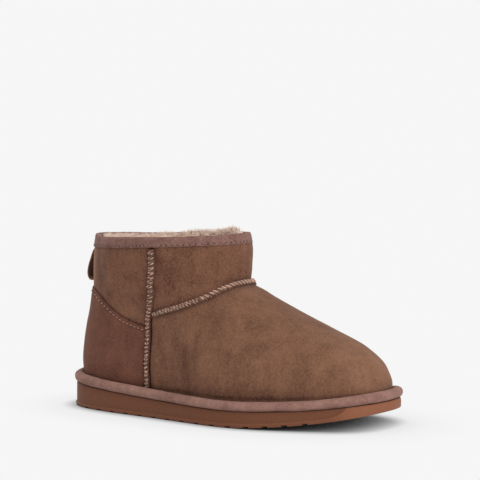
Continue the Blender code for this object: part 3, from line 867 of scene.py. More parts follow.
def route_frame(route):
    """Points on the skin along a route, with the directions across and out of it."""
    level, turn, _ = route
    points, out = skin_point(level, turn), outward(level, turn)
    run = np.gradient(points, axis=0)
    run /= np.linalg.norm(run, axis=1)[:, None]
    out -= np.einsum("ij,ij->i", out, run)[:, None] * run
    out /= np.linalg.norm(out, axis=1)[:, None]
    return points, np.cross(run, out), out


def roll_height(across):
    """Height of the half-round slice at a share of its width, from -0.5 to 0.5."""
    return np.sqrt(np.clip(1 - (2 * np.abs(across)) ** ROLL_SQUARENESS, 0, 1))


def roll_width(route, roll, way):
    """Width of a roll at a way along it. A roll over the instep is alike from both ends."""
    if route is over_route:
        way = np.minimum(way, route[2][-1] - way)
    return read(roll["widths"], way / MM) * MM


def at_way(way, distance, rows):
    """Rows of three numbers, read at some ways along a route."""
    return np.column_stack([np.interp(way, distance, rows[:, k]) for k in range(3)])


def on_roll(frame_of_route, route, roll, way, across, lift=0.0):
    """Point of a roll's surface, at a way along it and a share of its width."""
    points, side, out = frame_of_route
    distance = route[2]
    place, beside, up = (at_way(way, distance, part) for part in (points, side, out))
    plump = 1 + roll["swell"] * np.cos(2 * math.pi * (way / roll["pitch"] - across * roll["slant"]))
    height = roll["seat"] + roll["height"] * roll_height(across) * plump + lift
    return place + beside * (across * roll_width(route, roll, way))[:, None] + up * height[:, None]


def roll_mesh(name, route, roll, stands_for):
    """The roll over one route. It gives back the route's frame, for the thread."""
    frame_of_route = route_frame(route)
    ways = route[2]
    rows = []
    for share in np.linspace(-0.5, 0.5, ROLL_STEPS):
        rows.append(on_roll(frame_of_route, route, roll, ways, np.full(len(ways), share)))
    points, side, out = frame_of_route
    for share in (0.5, -0.5):
        rows.append(points + side * (share * roll_width(route, roll, ways))[:, None] - out * ROLL_SINK)
    grid = np.stack(rows, axis=1)
    faces = grid_faces(len(ways), ROLL_STEPS + 2)
    count = ROLL_STEPS + 2
    faces += [list(range(count))[::-1], [len(ways) * count - count + i for i in range(count)]]
    made = make_piece(name, grid, faces, seam_suede, "seam_suede", [stands_for], turn_out=True)
    set_tone(made, np.zeros(grid.shape[:2]))
    return frame_of_route


outer_route, inner_route = side_route(False, ROLL_STEP_LENGTH), side_route(True, ROLL_STEP_LENGTH)
over_route = vamp_route(ROLL_STEP_LENGTH)
outer_frame = roll_mesh("side_seam_outer_roll", outer_route, SIDE_ROLL, "side_seam_outer")
inner_frame = roll_mesh("side_seam_inner_roll", inner_route, SIDE_ROLL, "side_seam_inner")
over_frame = roll_mesh("vamp_seam_roll", over_route, VAMP_ROLL, "vamp_seam")

# %% [markdown]
# ## Thread
#
# The thread is thick, waxed and paler than the suede. Each stitch is a short tube with
# round ends, and all the stitches of one seam are joined in one mesh. An Array modifier on
# a curve would make them all alike, so each stitch is computed, and is moved a little at
# random. A stitch that goes over a roll is a slanting arc. Arcs darkened with painted shade,
# as they lie underneath, run close together from one foot of the roll to the other, and
# lighter, shorter ones cross over them.

# %% Thread material and tubes
TUBE_SIDES = 6
NO_STITCH_RUNS = np.array([0.31, 0.17, 0.94])


def tubes(paths, radius, taper=0.55):
    """Points and faces of closed tubes along paths, with round ends."""
    points, faces = [], []
    around = even_turns(TUBE_SIDES) * 2 * math.pi
    for way in paths:
        way = np.asarray(way, float)
        run = np.gradient(way, axis=0)
        run /= np.linalg.norm(run, axis=1)[:, None]
        side = np.cross(run, NO_STITCH_RUNS)
        side /= np.linalg.norm(side, axis=1)[:, None]
        up = np.cross(run, side)
        thick = np.full(len(way), radius)
        thick[[0, -1]] *= taper
        rings = way[:, None] + thick[:, None, None] * (
            np.cos(around)[None, :, None] * side[:, None] + np.sin(around)[None, :, None] * up[:, None]
        )
        first = len(points)
        points.extend(rings.reshape(-1, 3))
        faces += [[first + i for i in face] for face in grid_faces(len(way), TUBE_SIDES)]
        faces.append([first + i for i in range(TUBE_SIDES)][::-1])
        faces.append([first + (len(way) - 1) * TUBE_SIDES + i for i in range(TUBE_SIDES)])
    return points, faces


def plain_finish(name, colour, roughness, spread=0.3, size=0.5 * MM, sheen=0.2, bump_mm=0.1, tone=False):
    """A matt finish whose colour wavers by the given share, and follows the tone if asked."""
    material, tree, output = new_material(name)
    place = tree.nodes.new("ShaderNodeTexCoord").outputs["Object"]
    spots = add_node(tree, "ShaderNodeTexNoise", Vector=place, Scale=1 / size, Detail=3, Roughness=0.6)
    ramp = add_node(tree, "ShaderNodeValToRGB", Fac=spots.outputs["Fac"])
    ramp.color_ramp.elements[0].position = 0.3
    ramp.color_ramp.elements[1].position = 0.7
    ramp.color_ramp.elements[0].color = (*(c * (1 - spread) for c in colour), 1)
    ramp.color_ramp.elements[1].color = (*(c * (1 + spread) for c in colour), 1)
    base = ramp.outputs["Color"]
    if tone:
        painted = add_node(tree, "ShaderNodeAttribute", {"attribute_name": "tone"})
        factor = arithmetic(tree, "ADD", painted.outputs["Fac"], 1.0)
        scaled = add_node(tree, "ShaderNodeVectorMath", {"operation": "SCALE"}, Vector=base, Scale=factor)
        base = scaled.outputs[0]
    bump = add_node(tree, "ShaderNodeBump", Height=spots.outputs["Fac"], Distance=bump_mm * MM, Strength=0.5)
    shader = add_node(
        tree,
        "ShaderNodeBsdfPrincipled",
        Base_Color=base,
        Normal=bump.outputs["Normal"],
        Roughness=roughness,
        Specular_IOR_Level=0.15,
        Sheen_Weight=sheen,
    )
    tree.links.new(shader.outputs[0], output.inputs["Surface"])
    return material


thread = plain_finish("waxed_thread", (0.45, 0.275, 0.205), 0.75, spread=0.35, size=1.2 * MM, tone=True)
dull_thread = plain_finish("binding_thread", (0.30, 0.17, 0.14), 0.8)
pink_thread = plain_finish("counter_thread", (0.35, 0.205, 0.165), 0.8)
# a dark finish that paints the shade inside the pinholes
pinhole_shade = plain_finish("pinhole_shade", (0.035, 0.016, 0.012), 0.95, sheen=0)


print("threads:", [m.name for m in bpy.data.materials if "thread" in m.name])

# %% Arcs over a roll
ARC_POINTS = 7
ARC_SEED = 7
OWN_TONE = 0.25
# painted shade at the two feet of each stitch
FOOT_SHADE = -0.35


def arcs_over(frame_of_route, route, roll, pitch, slant, reach, lift, start=0.0, end=None, wobble=0.0):
    """Slanting arcs over a roll. Reach is the two shares of the width between which one lies."""
    dice = random.Random(ARC_SEED)
    ways = np.arange(start + pitch / 2, (end or route[2][-1]) - pitch / 3, pitch)
    across = np.linspace(*reach, ARC_POINTS)
    paths = []
    for way in ways:
        shift = dice.uniform(-wobble, wobble)
        paths.append(on_roll(frame_of_route, route, roll, way + shift + slant * across, across, lift))
    return paths


def thread_piece(name, paths, radius, seed, middle):
    """Stitches in one mesh. Each has its own tone near the middle, and painted shade at its two feet."""
    made = make_piece(name, *tubes(paths, radius), thread, "seam_suede", turn_out=True)
    own = middle + np.random.default_rng(seed).uniform(-OWN_TONE, OWN_TONE, len(paths))
    feet = FOOT_SHADE * np.abs(np.linspace(-1, 1, ARC_POINTS)) ** 2
    set_tone(made, np.repeat(own[:, None] + feet[None, :], TUBE_SIDES, axis=1))
    print(name, "has", len(paths), "stitches")


UNDER_PITCH = 2.0 * MM
UNDER_RADIUS = 0.42 * MM
UNDER_LIFT = -0.1 * MM
# painted shade on the arcs that lie under the crossing ones
UNDER_SHADE = -0.45

# %% Thread over the instep
FINE_WAY = 42 * MM
FINE_RADIUS = 0.40 * MM
FINE_WOBBLE = 0.3 * MM
WIDE_RADIUS = 0.68 * MM
over_length = over_route[2][-1]
FINE_ARCS = [
    # pitch mm, slant mm, reach, lift mm, from, to
    (2.6, 3.4, (-0.42, 0.02), 0.05, 0, FINE_WAY),
    (2.6, 3.4, (-0.42, 0.02), 0.05, over_length - FINE_WAY, None),
    (2.6, 2.6, (0.02, 0.34), 0, 1.3 * MM, FINE_WAY),
]

under = arcs_over(
    over_frame, over_route, VAMP_ROLL, UNDER_PITCH, 2.9 * MM, (-0.5, 0.5), UNDER_LIFT, wobble=FINE_WOBBLE
)
thread_piece("vamp_seam_under", under, UNDER_RADIUS, 41, UNDER_SHADE)
fine = []
for pitch, slant, reach, lift, start, end in FINE_ARCS:
    fine += arcs_over(
        over_frame, over_route, VAMP_ROLL, pitch * MM, slant * MM, reach, lift * MM, start, end, FINE_WOBBLE
    )
thread_piece("vamp_seam_fine", fine, FINE_RADIUS, 44, 0.05)
wide = arcs_over(
    over_frame, over_route, VAMP_ROLL, 3.7 * MM, 3.2 * MM, (-0.42, 0.30), 0.1 * MM,
    start=FINE_WAY, end=over_length - FINE_WAY, wobble=0.5 * MM,
)
thread_piece("vamp_seam_wide", wide, WIDE_RADIUS, 45, 0.10)

# %% Thread on the upright seams
CROSSING = 62 * MM
STRETCHES = [
    # pitch, from, to
    (3.0 * MM, 0, CROSSING),
    (3.7 * MM, CROSSING, None),
]
BACK_HALF = (-0.44, -0.04)
FRONT_HALF = (0.04, 0.44)
CROSS_RADIUS = 0.50 * MM

for name, route, of_route in (("outer", outer_route, outer_frame), ("inner", inner_route, inner_frame)):
    under = arcs_over(
        of_route, route, SIDE_ROLL, UNDER_PITCH, 2.2 * MM, (-0.46, 0.46), UNDER_LIFT, wobble=0.2 * MM
    )
    thread_piece(f"side_seam_{name}_under", under, UNDER_RADIUS, 42, UNDER_SHADE)
    crosses = []
    for pitch, start, end in STRETCHES:
        for reach, offset in ((BACK_HALF, 0), (FRONT_HALF, pitch / 2)):
            crosses += arcs_over(
                of_route, route, SIDE_ROLL, pitch, 3.2 * MM, reach, 0.05 * MM,
                start=start + offset, end=end, wobble=0.25 * MM,
            )
    thread_piece(f"side_seam_{name}_crosses", crosses, CROSS_RADIUS, 43, 0.10)

# %% [markdown]
# ## Heel counter
#
# A second layer of suede is sewn round the heel, with one row of stitches just below its
# upper edge. It could be cut out of the upper's mesh, but the cut would follow the faces
# and look ragged. So the patch is a grid of its own between the welt and that edge. It
# thins towards the edge, and the row of stitches presses a shallow groove into it.

# %% Counter patch
COUNTER_STAND = 1.7 * MM
COUNTER_THINNED = 0.7 * MM
THINNED_OVER = 8 * MM
COUNTER_THICK = 0.9 * MM
COUNTER_COLUMNS = 190
COUNTER_ROWS = 64
STITCH_ROW = 3.8 * MM
EDGE_DROP = 0.5 * MM
EDGE_WIDTH = 0.8 * MM
ROW_DROP = 0.35 * MM
ROW_WIDTH = 1.0 * MM
# painted light and shade: a share of the upper's, and painted shade along the upper edge and in the stitch
# groove
COUNTER_LIGHT_AND_SHADE = 0.6
EDGE_TONE = 0.15
ROW_SHADE = 0.10

across, up = np.meshgrid(np.linspace(-1, 1, COUNTER_COLUMNS), np.linspace(0, 1, COUNTER_ROWS), indexing="ij")
turn = across * COUNTER_REACH
for _ in range(4):
    top_level, low_level = read(COUNTER_EDGE, np.abs(turn)), foot_level(turn)
    level = low_level + (top_level - low_level) * up
    turn = across * (read(SIDE_SEAM, level) - COUNTER_END)
edge_level, edge_turn, _ = counter_route(0.25 * MM)
bare = bare_point(level, turn)
from_edge = distance_to(near_points(bare_point(edge_level, edge_turn)), bare)


def counter_stand(from_edge):
    """How far the counter's face stands out of the skin, at a way below its upper edge."""
    return COUNTER_STAND - COUNTER_THINNED * np.clip(1 - from_edge / THINNED_OVER, 0, 1)


stand = counter_stand(from_edge)
stand -= EDGE_DROP * bell(from_edge, EDGE_WIDTH) + ROW_DROP * bell(from_edge - STITCH_ROW, ROW_WIDTH)
counter = make_piece(
    "heel_counter_patch",
    skin_point(level, turn, stand),
    grid_faces(COUNTER_COLUMNS, COUNTER_ROWS, wrap_columns=False),
    heel_suede,
    "heel_suede",
    ["heel_counter"],
)
# The counter's tone is painted light and shade: part of the upper's, with painted shade at its upper edge and
# along the groove of its stitch row.
counter_tone = COUNTER_LIGHT_AND_SHADE * painted_tone(turn, bare)
counter_tone -= EDGE_TONE * bell(from_edge, 0.7 * MM) + ROW_SHADE * bell(from_edge - STITCH_ROW, 1.1 * MM)
set_tone(counter, counter_tone)
backing = counter.modifiers.new("thickness", "SOLIDIFY")
backing.thickness = COUNTER_THICK
backing.offset = 1
print("counter stands out in mm, edge and middle:", np.round(counter_stand(np.array([0, 20 * MM])) / MM, 2))

# %% Counter stitches
COUNTER_PITCH_MM = [(0, 3.9), (1, 3.9)]
STITCH_SHARE = 0.45
STITCH_ARCH = 0.30 * MM
FIRST_STITCH = 0.5 * MM
ROW_LEFT_OVER = 5 * MM
COUNTER_THREAD_RADIUS = 0.42 * MM
row_level, row_turn, row_way = counter_route(0.3 * MM, below=STITCH_ROW)
row_points = skin_point(row_level, row_turn, counter_stand(STITCH_ROW))
row_out = outward(row_level, row_turn)


def stitch_row(points, out, way, pitches, length, sink):
    """Short stitches along a row, each dipping into the suede at both ends. Pitches is a
    table of millimetres from one stitch to the next, by the share of the row's length."""
    paths = []
    start = FIRST_STITCH
    while start < way[-1] - ROW_LEFT_OVER:
        pitch = float(read(pitches, np.array(start / way[-1]))) * MM
        start += pitch
        share = np.linspace(0, 1, 6)
        at = start - pitch + length * pitch * share
        place, normal = at_way(at, way, points), at_way(at, way, out)
        paths.append(place + normal * (np.sin(math.pi * share) * STITCH_ARCH - sink)[:, None])
    return paths


counter_stitches = stitch_row(row_points, row_out, row_way, COUNTER_PITCH_MM, STITCH_SHARE, 0.1 * MM)
counter_tubes = tubes(counter_stitches, COUNTER_THREAD_RADIUS)
make_piece("heel_counter_thread", *counter_tubes, pink_thread, "heel_suede", turn_out=True)
print("stitches in the counter:", len(counter_stitches))

# %% [markdown]
# ## Collar binding
#
# A strip of the same soft suede as the welt is folded over the rim, and one row of
# stitches holds both laps. A bevelled curve can't lean with the shaft, so the strip's
# closed outline is rounded by cutting its corners, and swept round the collar. The strip
# is long, so on the outer side one end lies on the other beside the upright seam.

# %% Binding strip
BINDING_PROFILE_MM = [
    # out of the upper, height over the rim
    (0.2, -7.8), (1.0, -7.6), (1.2, -4.2), (1.5, -0.4), (0.6, 1.3), (-2.6, 1.5),
    (-4.2, 0.4), (-4.2, -5.5), (-2.9, -5.5), (-2.8, 0.3), (0.2, 0.3), (0.2, -4.0),
]
BINDING_LIFT_MM = [
    # turn, how far the folded edge rises over the rim
    (0, 2.4), (0.03, 2.4), (0.06, 2.3), (0.085, 1.8), (0.12, 0.0), (0.153, -0.4), (0.22, -0.9),
    (0.275, -1.5), (0.315, -1.4), (0.375, -0.9), (0.5, -0.5), (0.62, -0.4), (0.72, -0.4),
    (0.83, -0.3), (0.86, 0.1), (0.89, 0.65), (0.915, 1.3), (0.945, 1.75), (0.965, 1.9), (1, 2.4),
]
BINDING_STAND = [(0, 1.2), (0.1, 1.2), (0.3, 0.9), (0.5, 0.55), (0.68, 0.5), (0.85, 0.9), (1, 1.2)]
BINDING_FOOT = 7.8 * MM
BINDING_COLUMNS = 560
JOIN_TURN = 0.236
JOIN_WIDTH = 0.0085
JOIN_STEP = 0.35 * MM
JOIN_TONE = 0.07
BINDING_ROW = -6.0 * MM
ROW_PULL = 0.35 * MM
ROW_PULL_WIDTH = 0.9 * MM
OUTER_LAP_FROM = 0.3 * MM
# painted shade along the strip's lower edge
LOW_EDGE_SHADE = -0.18
LOW_EDGE_WIDTH = 0.9 * MM
BINDING_WAVES = [
    # size of the swelling, its height, seed
    (1.9 * MM, 0.14 * MM, 0.0),
    (4 * MM, 0.14 * MM, 0.0),
    (14 * MM, 0.2 * MM, 3.0),
]


def binding_lift(turn, height):
    """The folded edge is lifted here and there, its foot stays where it is."""
    share = np.clip((height + BINDING_FOOT) / BINDING_FOOT, 0, 1)
    return read(BINDING_LIFT_MM, np.asarray(turn) % 1) * MM * share


def near_rim(turn, stand, height):
    """Point by the collar: height is over the rim, or down the shaft when negative."""
    turn, stand, height = np.broadcast_arrays(turn, np.asarray(stand, float), np.asarray(height, float))
    drop = np.linalg.norm(bare_point(TOP_LEVEL, turn) - bare_point(TOP_LEVEL - 1, turn), axis=-1)
    points = skin_point(TOP_LEVEL + np.minimum(height, 0) / drop, turn, stand)
    points[..., 2] += np.maximum(height, 0)
    return points


binding_turns = even_turns(BINDING_COLUMNS)
profile = rounded(BINDING_PROFILE_MM, 3) * MM
outer_lap = profile[:, 0] > OUTER_LAP_FROM
overlap = JOIN_STEP * (bell(binding_turns - JOIN_TURN, JOIN_WIDTH) > 0.4)
rings = []
for (out_by, height), is_outer in zip(profile, outer_lap):
    lifted = height + binding_lift(binding_turns, height)
    stand = out_by * read(BINDING_STAND, binding_turns) + overlap if is_outer else out_by
    ring = near_rim(binding_turns, stand, lifted)
    pull = ROW_PULL * bell(height - BINDING_ROW, ROW_PULL_WIDTH) if is_outer else 0
    wave = sum(lumps(ring, size, seed) * swell for size, swell, seed in BINDING_WAVES) - pull
    rings.append(ring + outward(TOP_LEVEL - 0.5, binding_turns) * wave[:, None])
binding = make_piece(
    "collar_binding_strip",
    np.array(rings),
    grid_faces(len(profile), BINDING_COLUMNS, wrap_rows=True),
    binding_suede,
    "binding_suede",
    ["collar_binding"],
    turn_out=True,
)
# Painted shade along the strip's lower edge; the overlap is a little lighter.
low_edge = bell(profile[:, 1] + BINDING_FOOT, LOW_EDGE_WIDTH)[:, None]
set_tone(binding, LOW_EDGE_SHADE * low_edge + JOIN_TONE * (overlap > 0)[None, :])
print("columns in the strip's overlap:", int((overlap > 0).sum()))

# %% Binding stitches
BINDING_PITCH_MM = [(0, 3.3), (0.26, 3.3), (0.36, 4.6), (0.64, 4.6), (0.74, 3.3), (1, 3.3)]
BINDING_STITCH_SHARE = 0.6
BINDING_STITCH_SINK = 0.26 * MM
BINDING_THREAD_RADIUS = 0.32 * MM
fine_turns = even_turns(1200)
row_stand = 1.25 * MM * read(BINDING_STAND, fine_turns) - 0.1 * MM
row_points = near_rim(fine_turns, row_stand, BINDING_ROW)
row_out = outward(TOP_LEVEL - 0.5, fine_turns)
row_way = np.concatenate([[0], np.cumsum(np.linalg.norm(np.diff(row_points, axis=0), axis=1))])
binding_stitches = stitch_row(
    row_points, row_out, row_way, BINDING_PITCH_MM, BINDING_STITCH_SHARE, BINDING_STITCH_SINK
)
binding_tubes = tubes(binding_stitches, BINDING_THREAD_RADIUS)
make_piece("collar_binding_thread", *binding_tubes, dull_thread, "binding_suede", turn_out=True)

# %% Painted shade in the pinholes between the stitches
PINHOLE_RADIUS = 0.42 * MM


def pinholes(paths):
    """Dark dots of painted shade in the gaps between the stitches of a row."""
    dots = []
    for path, following in zip(paths, paths[1:]):
        gap = following[0] - path[-1]
        dots.append(np.array([path[-1] + gap * share for share in (0.25, 0.5, 0.75)]))
    return dots


holes = pinholes(binding_stitches)
make_piece("collar_binding_pinholes", *tubes(holes, PINHOLE_RADIUS), pinhole_shade, "binding_suede", turn_out=True)
print("stitches and pinholes in the binding:", len(binding_stitches), len(holes))

# %% [markdown]
# ## Welt
#
# The welt is a padded roll, covered with the binding's suede, that hides the seam
# between sole and upper. A round tube would look like a cord: the real one is taller than
# it is deep and stands a little proud of the sole. So its slice is a smooth closed curve
# through a few points, swept along the sole's edge and swollen a little by noise.

# %% Welt roll
WELT_PROFILE_MM = [
    # inset from the sole's edge, height over the sole's upper face
    (6.8, 0.4), (0.6, 0.4), (-1.6, 1.6), (-2.3, 3.6), (-1.6, 5.8),
    (0.4, 7.0), (2.8, 7.2), (4.6, 6.2), (5.9, 4.2),
]
WELT_FULLNESS = [(0, 1.12), (0.35, 1.03), (0.8, 0.96), (1, 1.05)]
WELT_STEPS = 44
WELT_COLUMNS = 620
WELT_SWELLING = [
    # size of the swelling, its height, seed
    (5 * MM, 0.14 * MM, 0.0),
    (18 * MM, 0.22 * MM, 2.0),
]
WELT_CREASE_SHADE = -0.2
welt_suede = suede("welt_suede", (0.254, 0.134, 0.108), grain_mm=0.8, contrast=0.95)
welt_turns = even_turns(WELT_COLUMNS)
profile = closed_curve(WELT_PROFILE_MM, even_turns(WELT_STEPS)) * MM
welt_x = sole_edge(welt_turns, 0)[:, 0]
fullness = read(WELT_FULLNESS, welt_x / SOLE_LENGTH)
rings = []
for inset, height in profile:
    rings.append(np.column_stack([sole_edge(welt_turns, inset), sole_top(welt_x) + height * fullness]))
rings = np.array(rings)
centre = rings.mean(axis=0)
away = rings - centre
away /= np.linalg.norm(away, axis=-1)[..., None]
rings += away * sum(lumps(rings, size, seed) * swell for size, swell, seed in WELT_SWELLING)[..., None]
welt = make_piece(
    "welt_roll",
    rings,
    grid_faces(len(profile), WELT_COLUMNS, wrap_rows=True),
    welt_suede,
    "welt_suede",
    ["welt"],
    turn_out=True,
)
# Painted shade in the creases where the welt meets the upper and the sole.
by_upper, by_sole = profile[:, 0] - 5.5 * MM, profile[:, 1] - 0.4 * MM
crease = bell(by_upper, 2 * MM) + bell(by_sole, 0.9 * MM)
set_tone(welt, np.repeat(WELT_CREASE_SHADE * crease, WELT_COLUMNS))
print("welt's slice in mm:", np.round(np.ptp(profile, axis=0) / MM, 1))

# %% [markdown]
# ## Outsole
#
# The sole is one block of moulded rubber. Its side is set back above a proud lower band,
# which sweeps up over the whole side at the toe. Rings of the sole's outline, from the
# tread up to the upper face, give the block. The grooves of the tread could be modelled
# face by face, but a Boolean modifier cuts a row of like bars in one go.

# %% Sole block
SOLE_COLUMNS = 420
SIDE_STAND_MM = [(0, 1.7), (0.05, 1.5), (0.15, 0.7), (0.9, 0.7), (1, 1.2)]
SOLE_BAND_MM = [(0, 2.4), (0.3, 2.8), (0.895, 3.0), (0.918, 4.4), (0.935, 7), (0.953, 12), (1, 12)]
BAND_STEP = 0.8 * MM
BAND_CORNER = 0.6 * MM
BAND_FADE = 3 * MM
SIDE_LEFT_OVER = 1 * MM
TREAD_BEVEL = 1.3 * MM
SOLE_TOP_BEVEL = 0.8 * MM

sole_turns = even_turns(SOLE_COLUMNS)
sole_x = sole_edge(sole_turns, 0)[:, 0]
bottom, top = sole_bottom(sole_x), sole_top(sole_x)
full = top - bottom - SOLE_TOP_BEVEL - SIDE_LEFT_OVER
band = np.minimum(read(SOLE_BAND_MM, sole_x / SOLE_LENGTH) * MM, full - BAND_CORNER)
step = BAND_STEP * np.clip((full - band) / BAND_FADE, 0, 1)


def sole_ring(inset, height, drawn_in=1.0, follow=None):
    """A ring of the sole. A ring that is drawn in to the middle follows a height rule."""
    out_by = (read(SIDE_STAND_MM, sole_x / SOLE_LENGTH) * MM - inset)[:, None]
    flat = sole_edge(sole_turns, 0) + out_by * round_read(EDGE_OUT, sole_turns)
    flat = MIDDLE + (flat - MIDDLE) * drawn_in
    return np.column_stack([flat, follow(flat[:, 0]) if follow else height])


sole_rings = [
    sole_ring(TREAD_BEVEL, 0, 0.4, sole_bottom),
    sole_ring(TREAD_BEVEL, 0, 0.75, sole_bottom),
    sole_ring(TREAD_BEVEL, bottom),
    sole_ring(0.45 * MM, bottom + 0.4 * MM),
    sole_ring(0.1 * MM, bottom + TREAD_BEVEL),
    sole_ring(0, bottom + band),
    sole_ring(0.2 * step, bottom + band + 0.25 * BAND_CORNER),
    sole_ring(step, bottom + band + BAND_CORNER),
    sole_ring(step + 0.1 * MM, top - SOLE_TOP_BEVEL),
    sole_ring(step + 0.35 * MM, top - 0.25 * MM),
    sole_ring(step + SOLE_TOP_BEVEL, top),
    sole_ring(BAND_STEP, 0, 0.8, sole_top),
    sole_ring(BAND_STEP, 0, 0.45, sole_top),
]
ends = [np.array([[*MIDDLE, rule(np.array(MIDDLE[0]))]]) for rule in (sole_bottom, sole_top)]
sole_points = np.concatenate([*sole_rings, *ends])
sole_faces = grid_faces(len(sole_rings), SOLE_COLUMNS)
for ring, tip in ((0, len(sole_points) - 2), (len(sole_rings) - 1, len(sole_points) - 1)):
    for i in range(SOLE_COLUMNS):
        sole_faces.append([ring * SOLE_COLUMNS + i, ring * SOLE_COLUMNS + (i + 1) % SOLE_COLUMNS, tip])
rubber = plain_finish(
    "sole_rubber", (0.154, 0.058, 0.030), 0.7, spread=0.07, size=1.6 * MM, sheen=0.05, tone=True
)
outsole = make_piece(
    "outsole_block",
    sole_points,
    sole_faces,
    rubber,
    "sole_rubber",
    ["outsole"],
    turn_out=True,
)

# %% Bars that cut the tread
GROOVE_PITCH = 14 * MM
GROOVE_WIDTH = 4.4 * MM
GROOVE_DEPTH = 1.3 * MM
GROOVE_WAVE = 3.5 * MM
GROOVE_REACH = 75 * MM
GROOVE_FLOOR = -5 * MM
FIRST_GROOVE = 15 * MM
GROOVE_COUNT = 16

cutter_form = bmesh.new()
for number in range(GROOVE_COUNT):
    centre = FIRST_GROOVE + number * GROOVE_PITCH
    ceiling = float(sole_bottom(np.array(centre))) + GROOVE_DEPTH
    slices = []
    for i, share in enumerate((-1, -1 / 3, 0, 1 / 3, 1)):
        x = centre + GROOVE_WAVE * (-1) ** i / 2 - MIDDLE[0]
        y = GROOVE_REACH * share
        corners = ((-1, GROOVE_FLOOR), (1, GROOVE_FLOOR), (1, ceiling), (-1, ceiling))
        slices.append([cutter_form.verts.new((x + side * GROOVE_WIDTH / 2, y, z)) for side, z in corners])
    for a, b in zip(slices, slices[1:]):
        for i in range(4):
            cutter_form.faces.new((a[i], a[(i + 1) % 4], b[(i + 1) % 4], b[i]))
    cutter_form.faces.new(slices[0])
    cutter_form.faces.new(slices[-1])
bmesh.ops.recalc_face_normals(cutter_form, faces=cutter_form.faces[:])
cutter_mesh = bpy.data.meshes.new("groove_bars")
cutter_form.to_mesh(cutter_mesh)
cutter_form.free()
cutter = bpy.data.objects.new("groove_bars", cutter_mesh)
bpy.context.scene.collection.objects.link(cutter)
print("bars:", GROOVE_COUNT)

# %% Cut the tread
cut = outsole.modifiers.new("tread", "BOOLEAN")
cut.operation = "DIFFERENCE"
cut.solver = "EXACT"
cut.object = cutter
bpy.context.view_layer.update()
evaluated = outsole.evaluated_get(bpy.context.evaluated_depsgraph_get())
carved = bpy.data.meshes.new_from_object(evaluated)
outsole.modifiers.clear()
outsole.data = carved
bpy.data.objects.remove(cutter)
carved.set_sharp_from_angle(angle=math.radians(38))
print("faces of the cut sole:", len(carved.polygons))

# %% Lighter band and toe
# The proud band is lighter, partly scuffed rubber and partly painted highlight; at the toe it is lighter
# still, partly the rubber's own colour and partly painted highlight where it faces the light.
BAND_SCUFF_AND_HIGHLIGHT = 0.20
BUMPER_COLOUR_AND_HIGHLIGHT = 0.36
BUMPER_START = 0.90

place = np.empty(len(carved.vertices) * 3)
carved.vertices.foreach_get("co", place)
place = place.reshape(-1, 3) + (MIDDLE[0], MIDDLE[1], 0)
above = place[:, 2] - sole_bottom(place[:, 0])
in_band = above < read(SOLE_BAND_MM, place[:, 0] / SOLE_LENGTH) * MM + 0.4 * BAND_CORNER
at_toe = np.clip((place[:, 0] / SOLE_LENGTH - BUMPER_START) / (1 - BUMPER_START), 0, 1)
set_tone(outsole, in_band * (BAND_SCUFF_AND_HIGHLIGHT + BUMPER_COLOUR_AND_HIGHLIGHT * np.clip(2 * at_toe, 0, 1)))
print("points in the lighter band:", int(in_band.sum()))

# %% [markdown]
# ## Wool
#
# The inside of a sheepskin is the fleece itself: dense locks, a few millimetres long,
# each of them curled. A hair system would be lost in the exported model, so each lock is
# a small tapered curl with three sides, closed at its foot. They are computed all at
# once as arrays, and lean together in patches, as wool does. Blender's vector noise, which
# sets that lean, starts from the clock unless it is given a seed. So it gets one, and the
# wool is the same at every run.

# %% Locks of wool
WOOL_COLOUR = (0.90, 0.71, 0.59)
fleece_wool = plain_finish("fleece_wool", WOOL_COLOUR, 0.95, spread=0.1, size=5 * MM, sheen=0.2)
LOCK_STEPS = 4
LOCK_SIDES = 3
PATCH_SIZE = 5 * MM
PATCH_LEAN = 1.1
OWN_LEAN = 0.35
LEAN_SEED = 5
noise.seed_set(LEAN_SEED)


def wool(name, roots, normals, length, thickness, seed):
    """One mesh of curled locks on the given roots."""
    dice = np.random.default_rng(seed)
    count = len(roots)
    normals = normals / np.linalg.norm(normals, axis=1)[:, None]
    patch = np.array([noise.noise_vector(Vector(p / PATCH_SIZE)) for p in roots])
    lean = patch * PATCH_LEAN + dice.normal(0, OWN_LEAN, (count, 3))
    lean -= np.einsum("ij,ij->i", lean, normals)[:, None] * normals
    helper = np.cross(normals, dice.normal(0, 1, (count, 3)))
    helper /= np.linalg.norm(helper, axis=1)[:, None]
    other = np.cross(normals, helper)
    size = length * dice.uniform(0.45, 1.4, count)
    coil = dice.uniform(0.12, 0.24, count) * size
    spin = dice.uniform(2.4, 5.0, count) * dice.choice([-1, 1], count)
    rings = []
    for step in range(LOCK_STEPS):
        share = step / (LOCK_STEPS - 1)
        turn_angle = spin * share
        centre = roots + normals * (size * share * (1 - 0.28 * share))[:, None]
        centre = centre + lean * (size * 0.5 * share**1.5)[:, None]
        centre = centre + helper * (coil * (np.cos(turn_angle) - 1))[:, None]
        centre = centre + other * (coil * np.sin(turn_angle))[:, None]
        wide = thickness * (1 - 0.85 * share) * dice.uniform(0.8, 1.2, count)
        for side in range(LOCK_SIDES):
            angle = 2 * math.pi * side / LOCK_SIDES + turn_angle
            beside = helper * np.cos(angle)[:, None] + other * np.sin(angle)[:, None]
            rings.append(centre + beside * wide[:, None])
    points = np.stack(rings, axis=1)
    base = np.array(grid_faces(LOCK_STEPS, LOCK_SIDES))
    step_size = LOCK_STEPS * LOCK_SIDES
    starts = np.arange(count)[:, None, None] * step_size
    faces = (base[None] + starts).reshape(-1, 4).tolist()
    foot = np.array([[0, 2, 1], [step_size - 3, step_size - 2, step_size - 1]])
    faces += (foot[None] + starts).reshape(-1, 3).tolist()
    make_piece(name, points, faces, fleece_wool, "fleece")


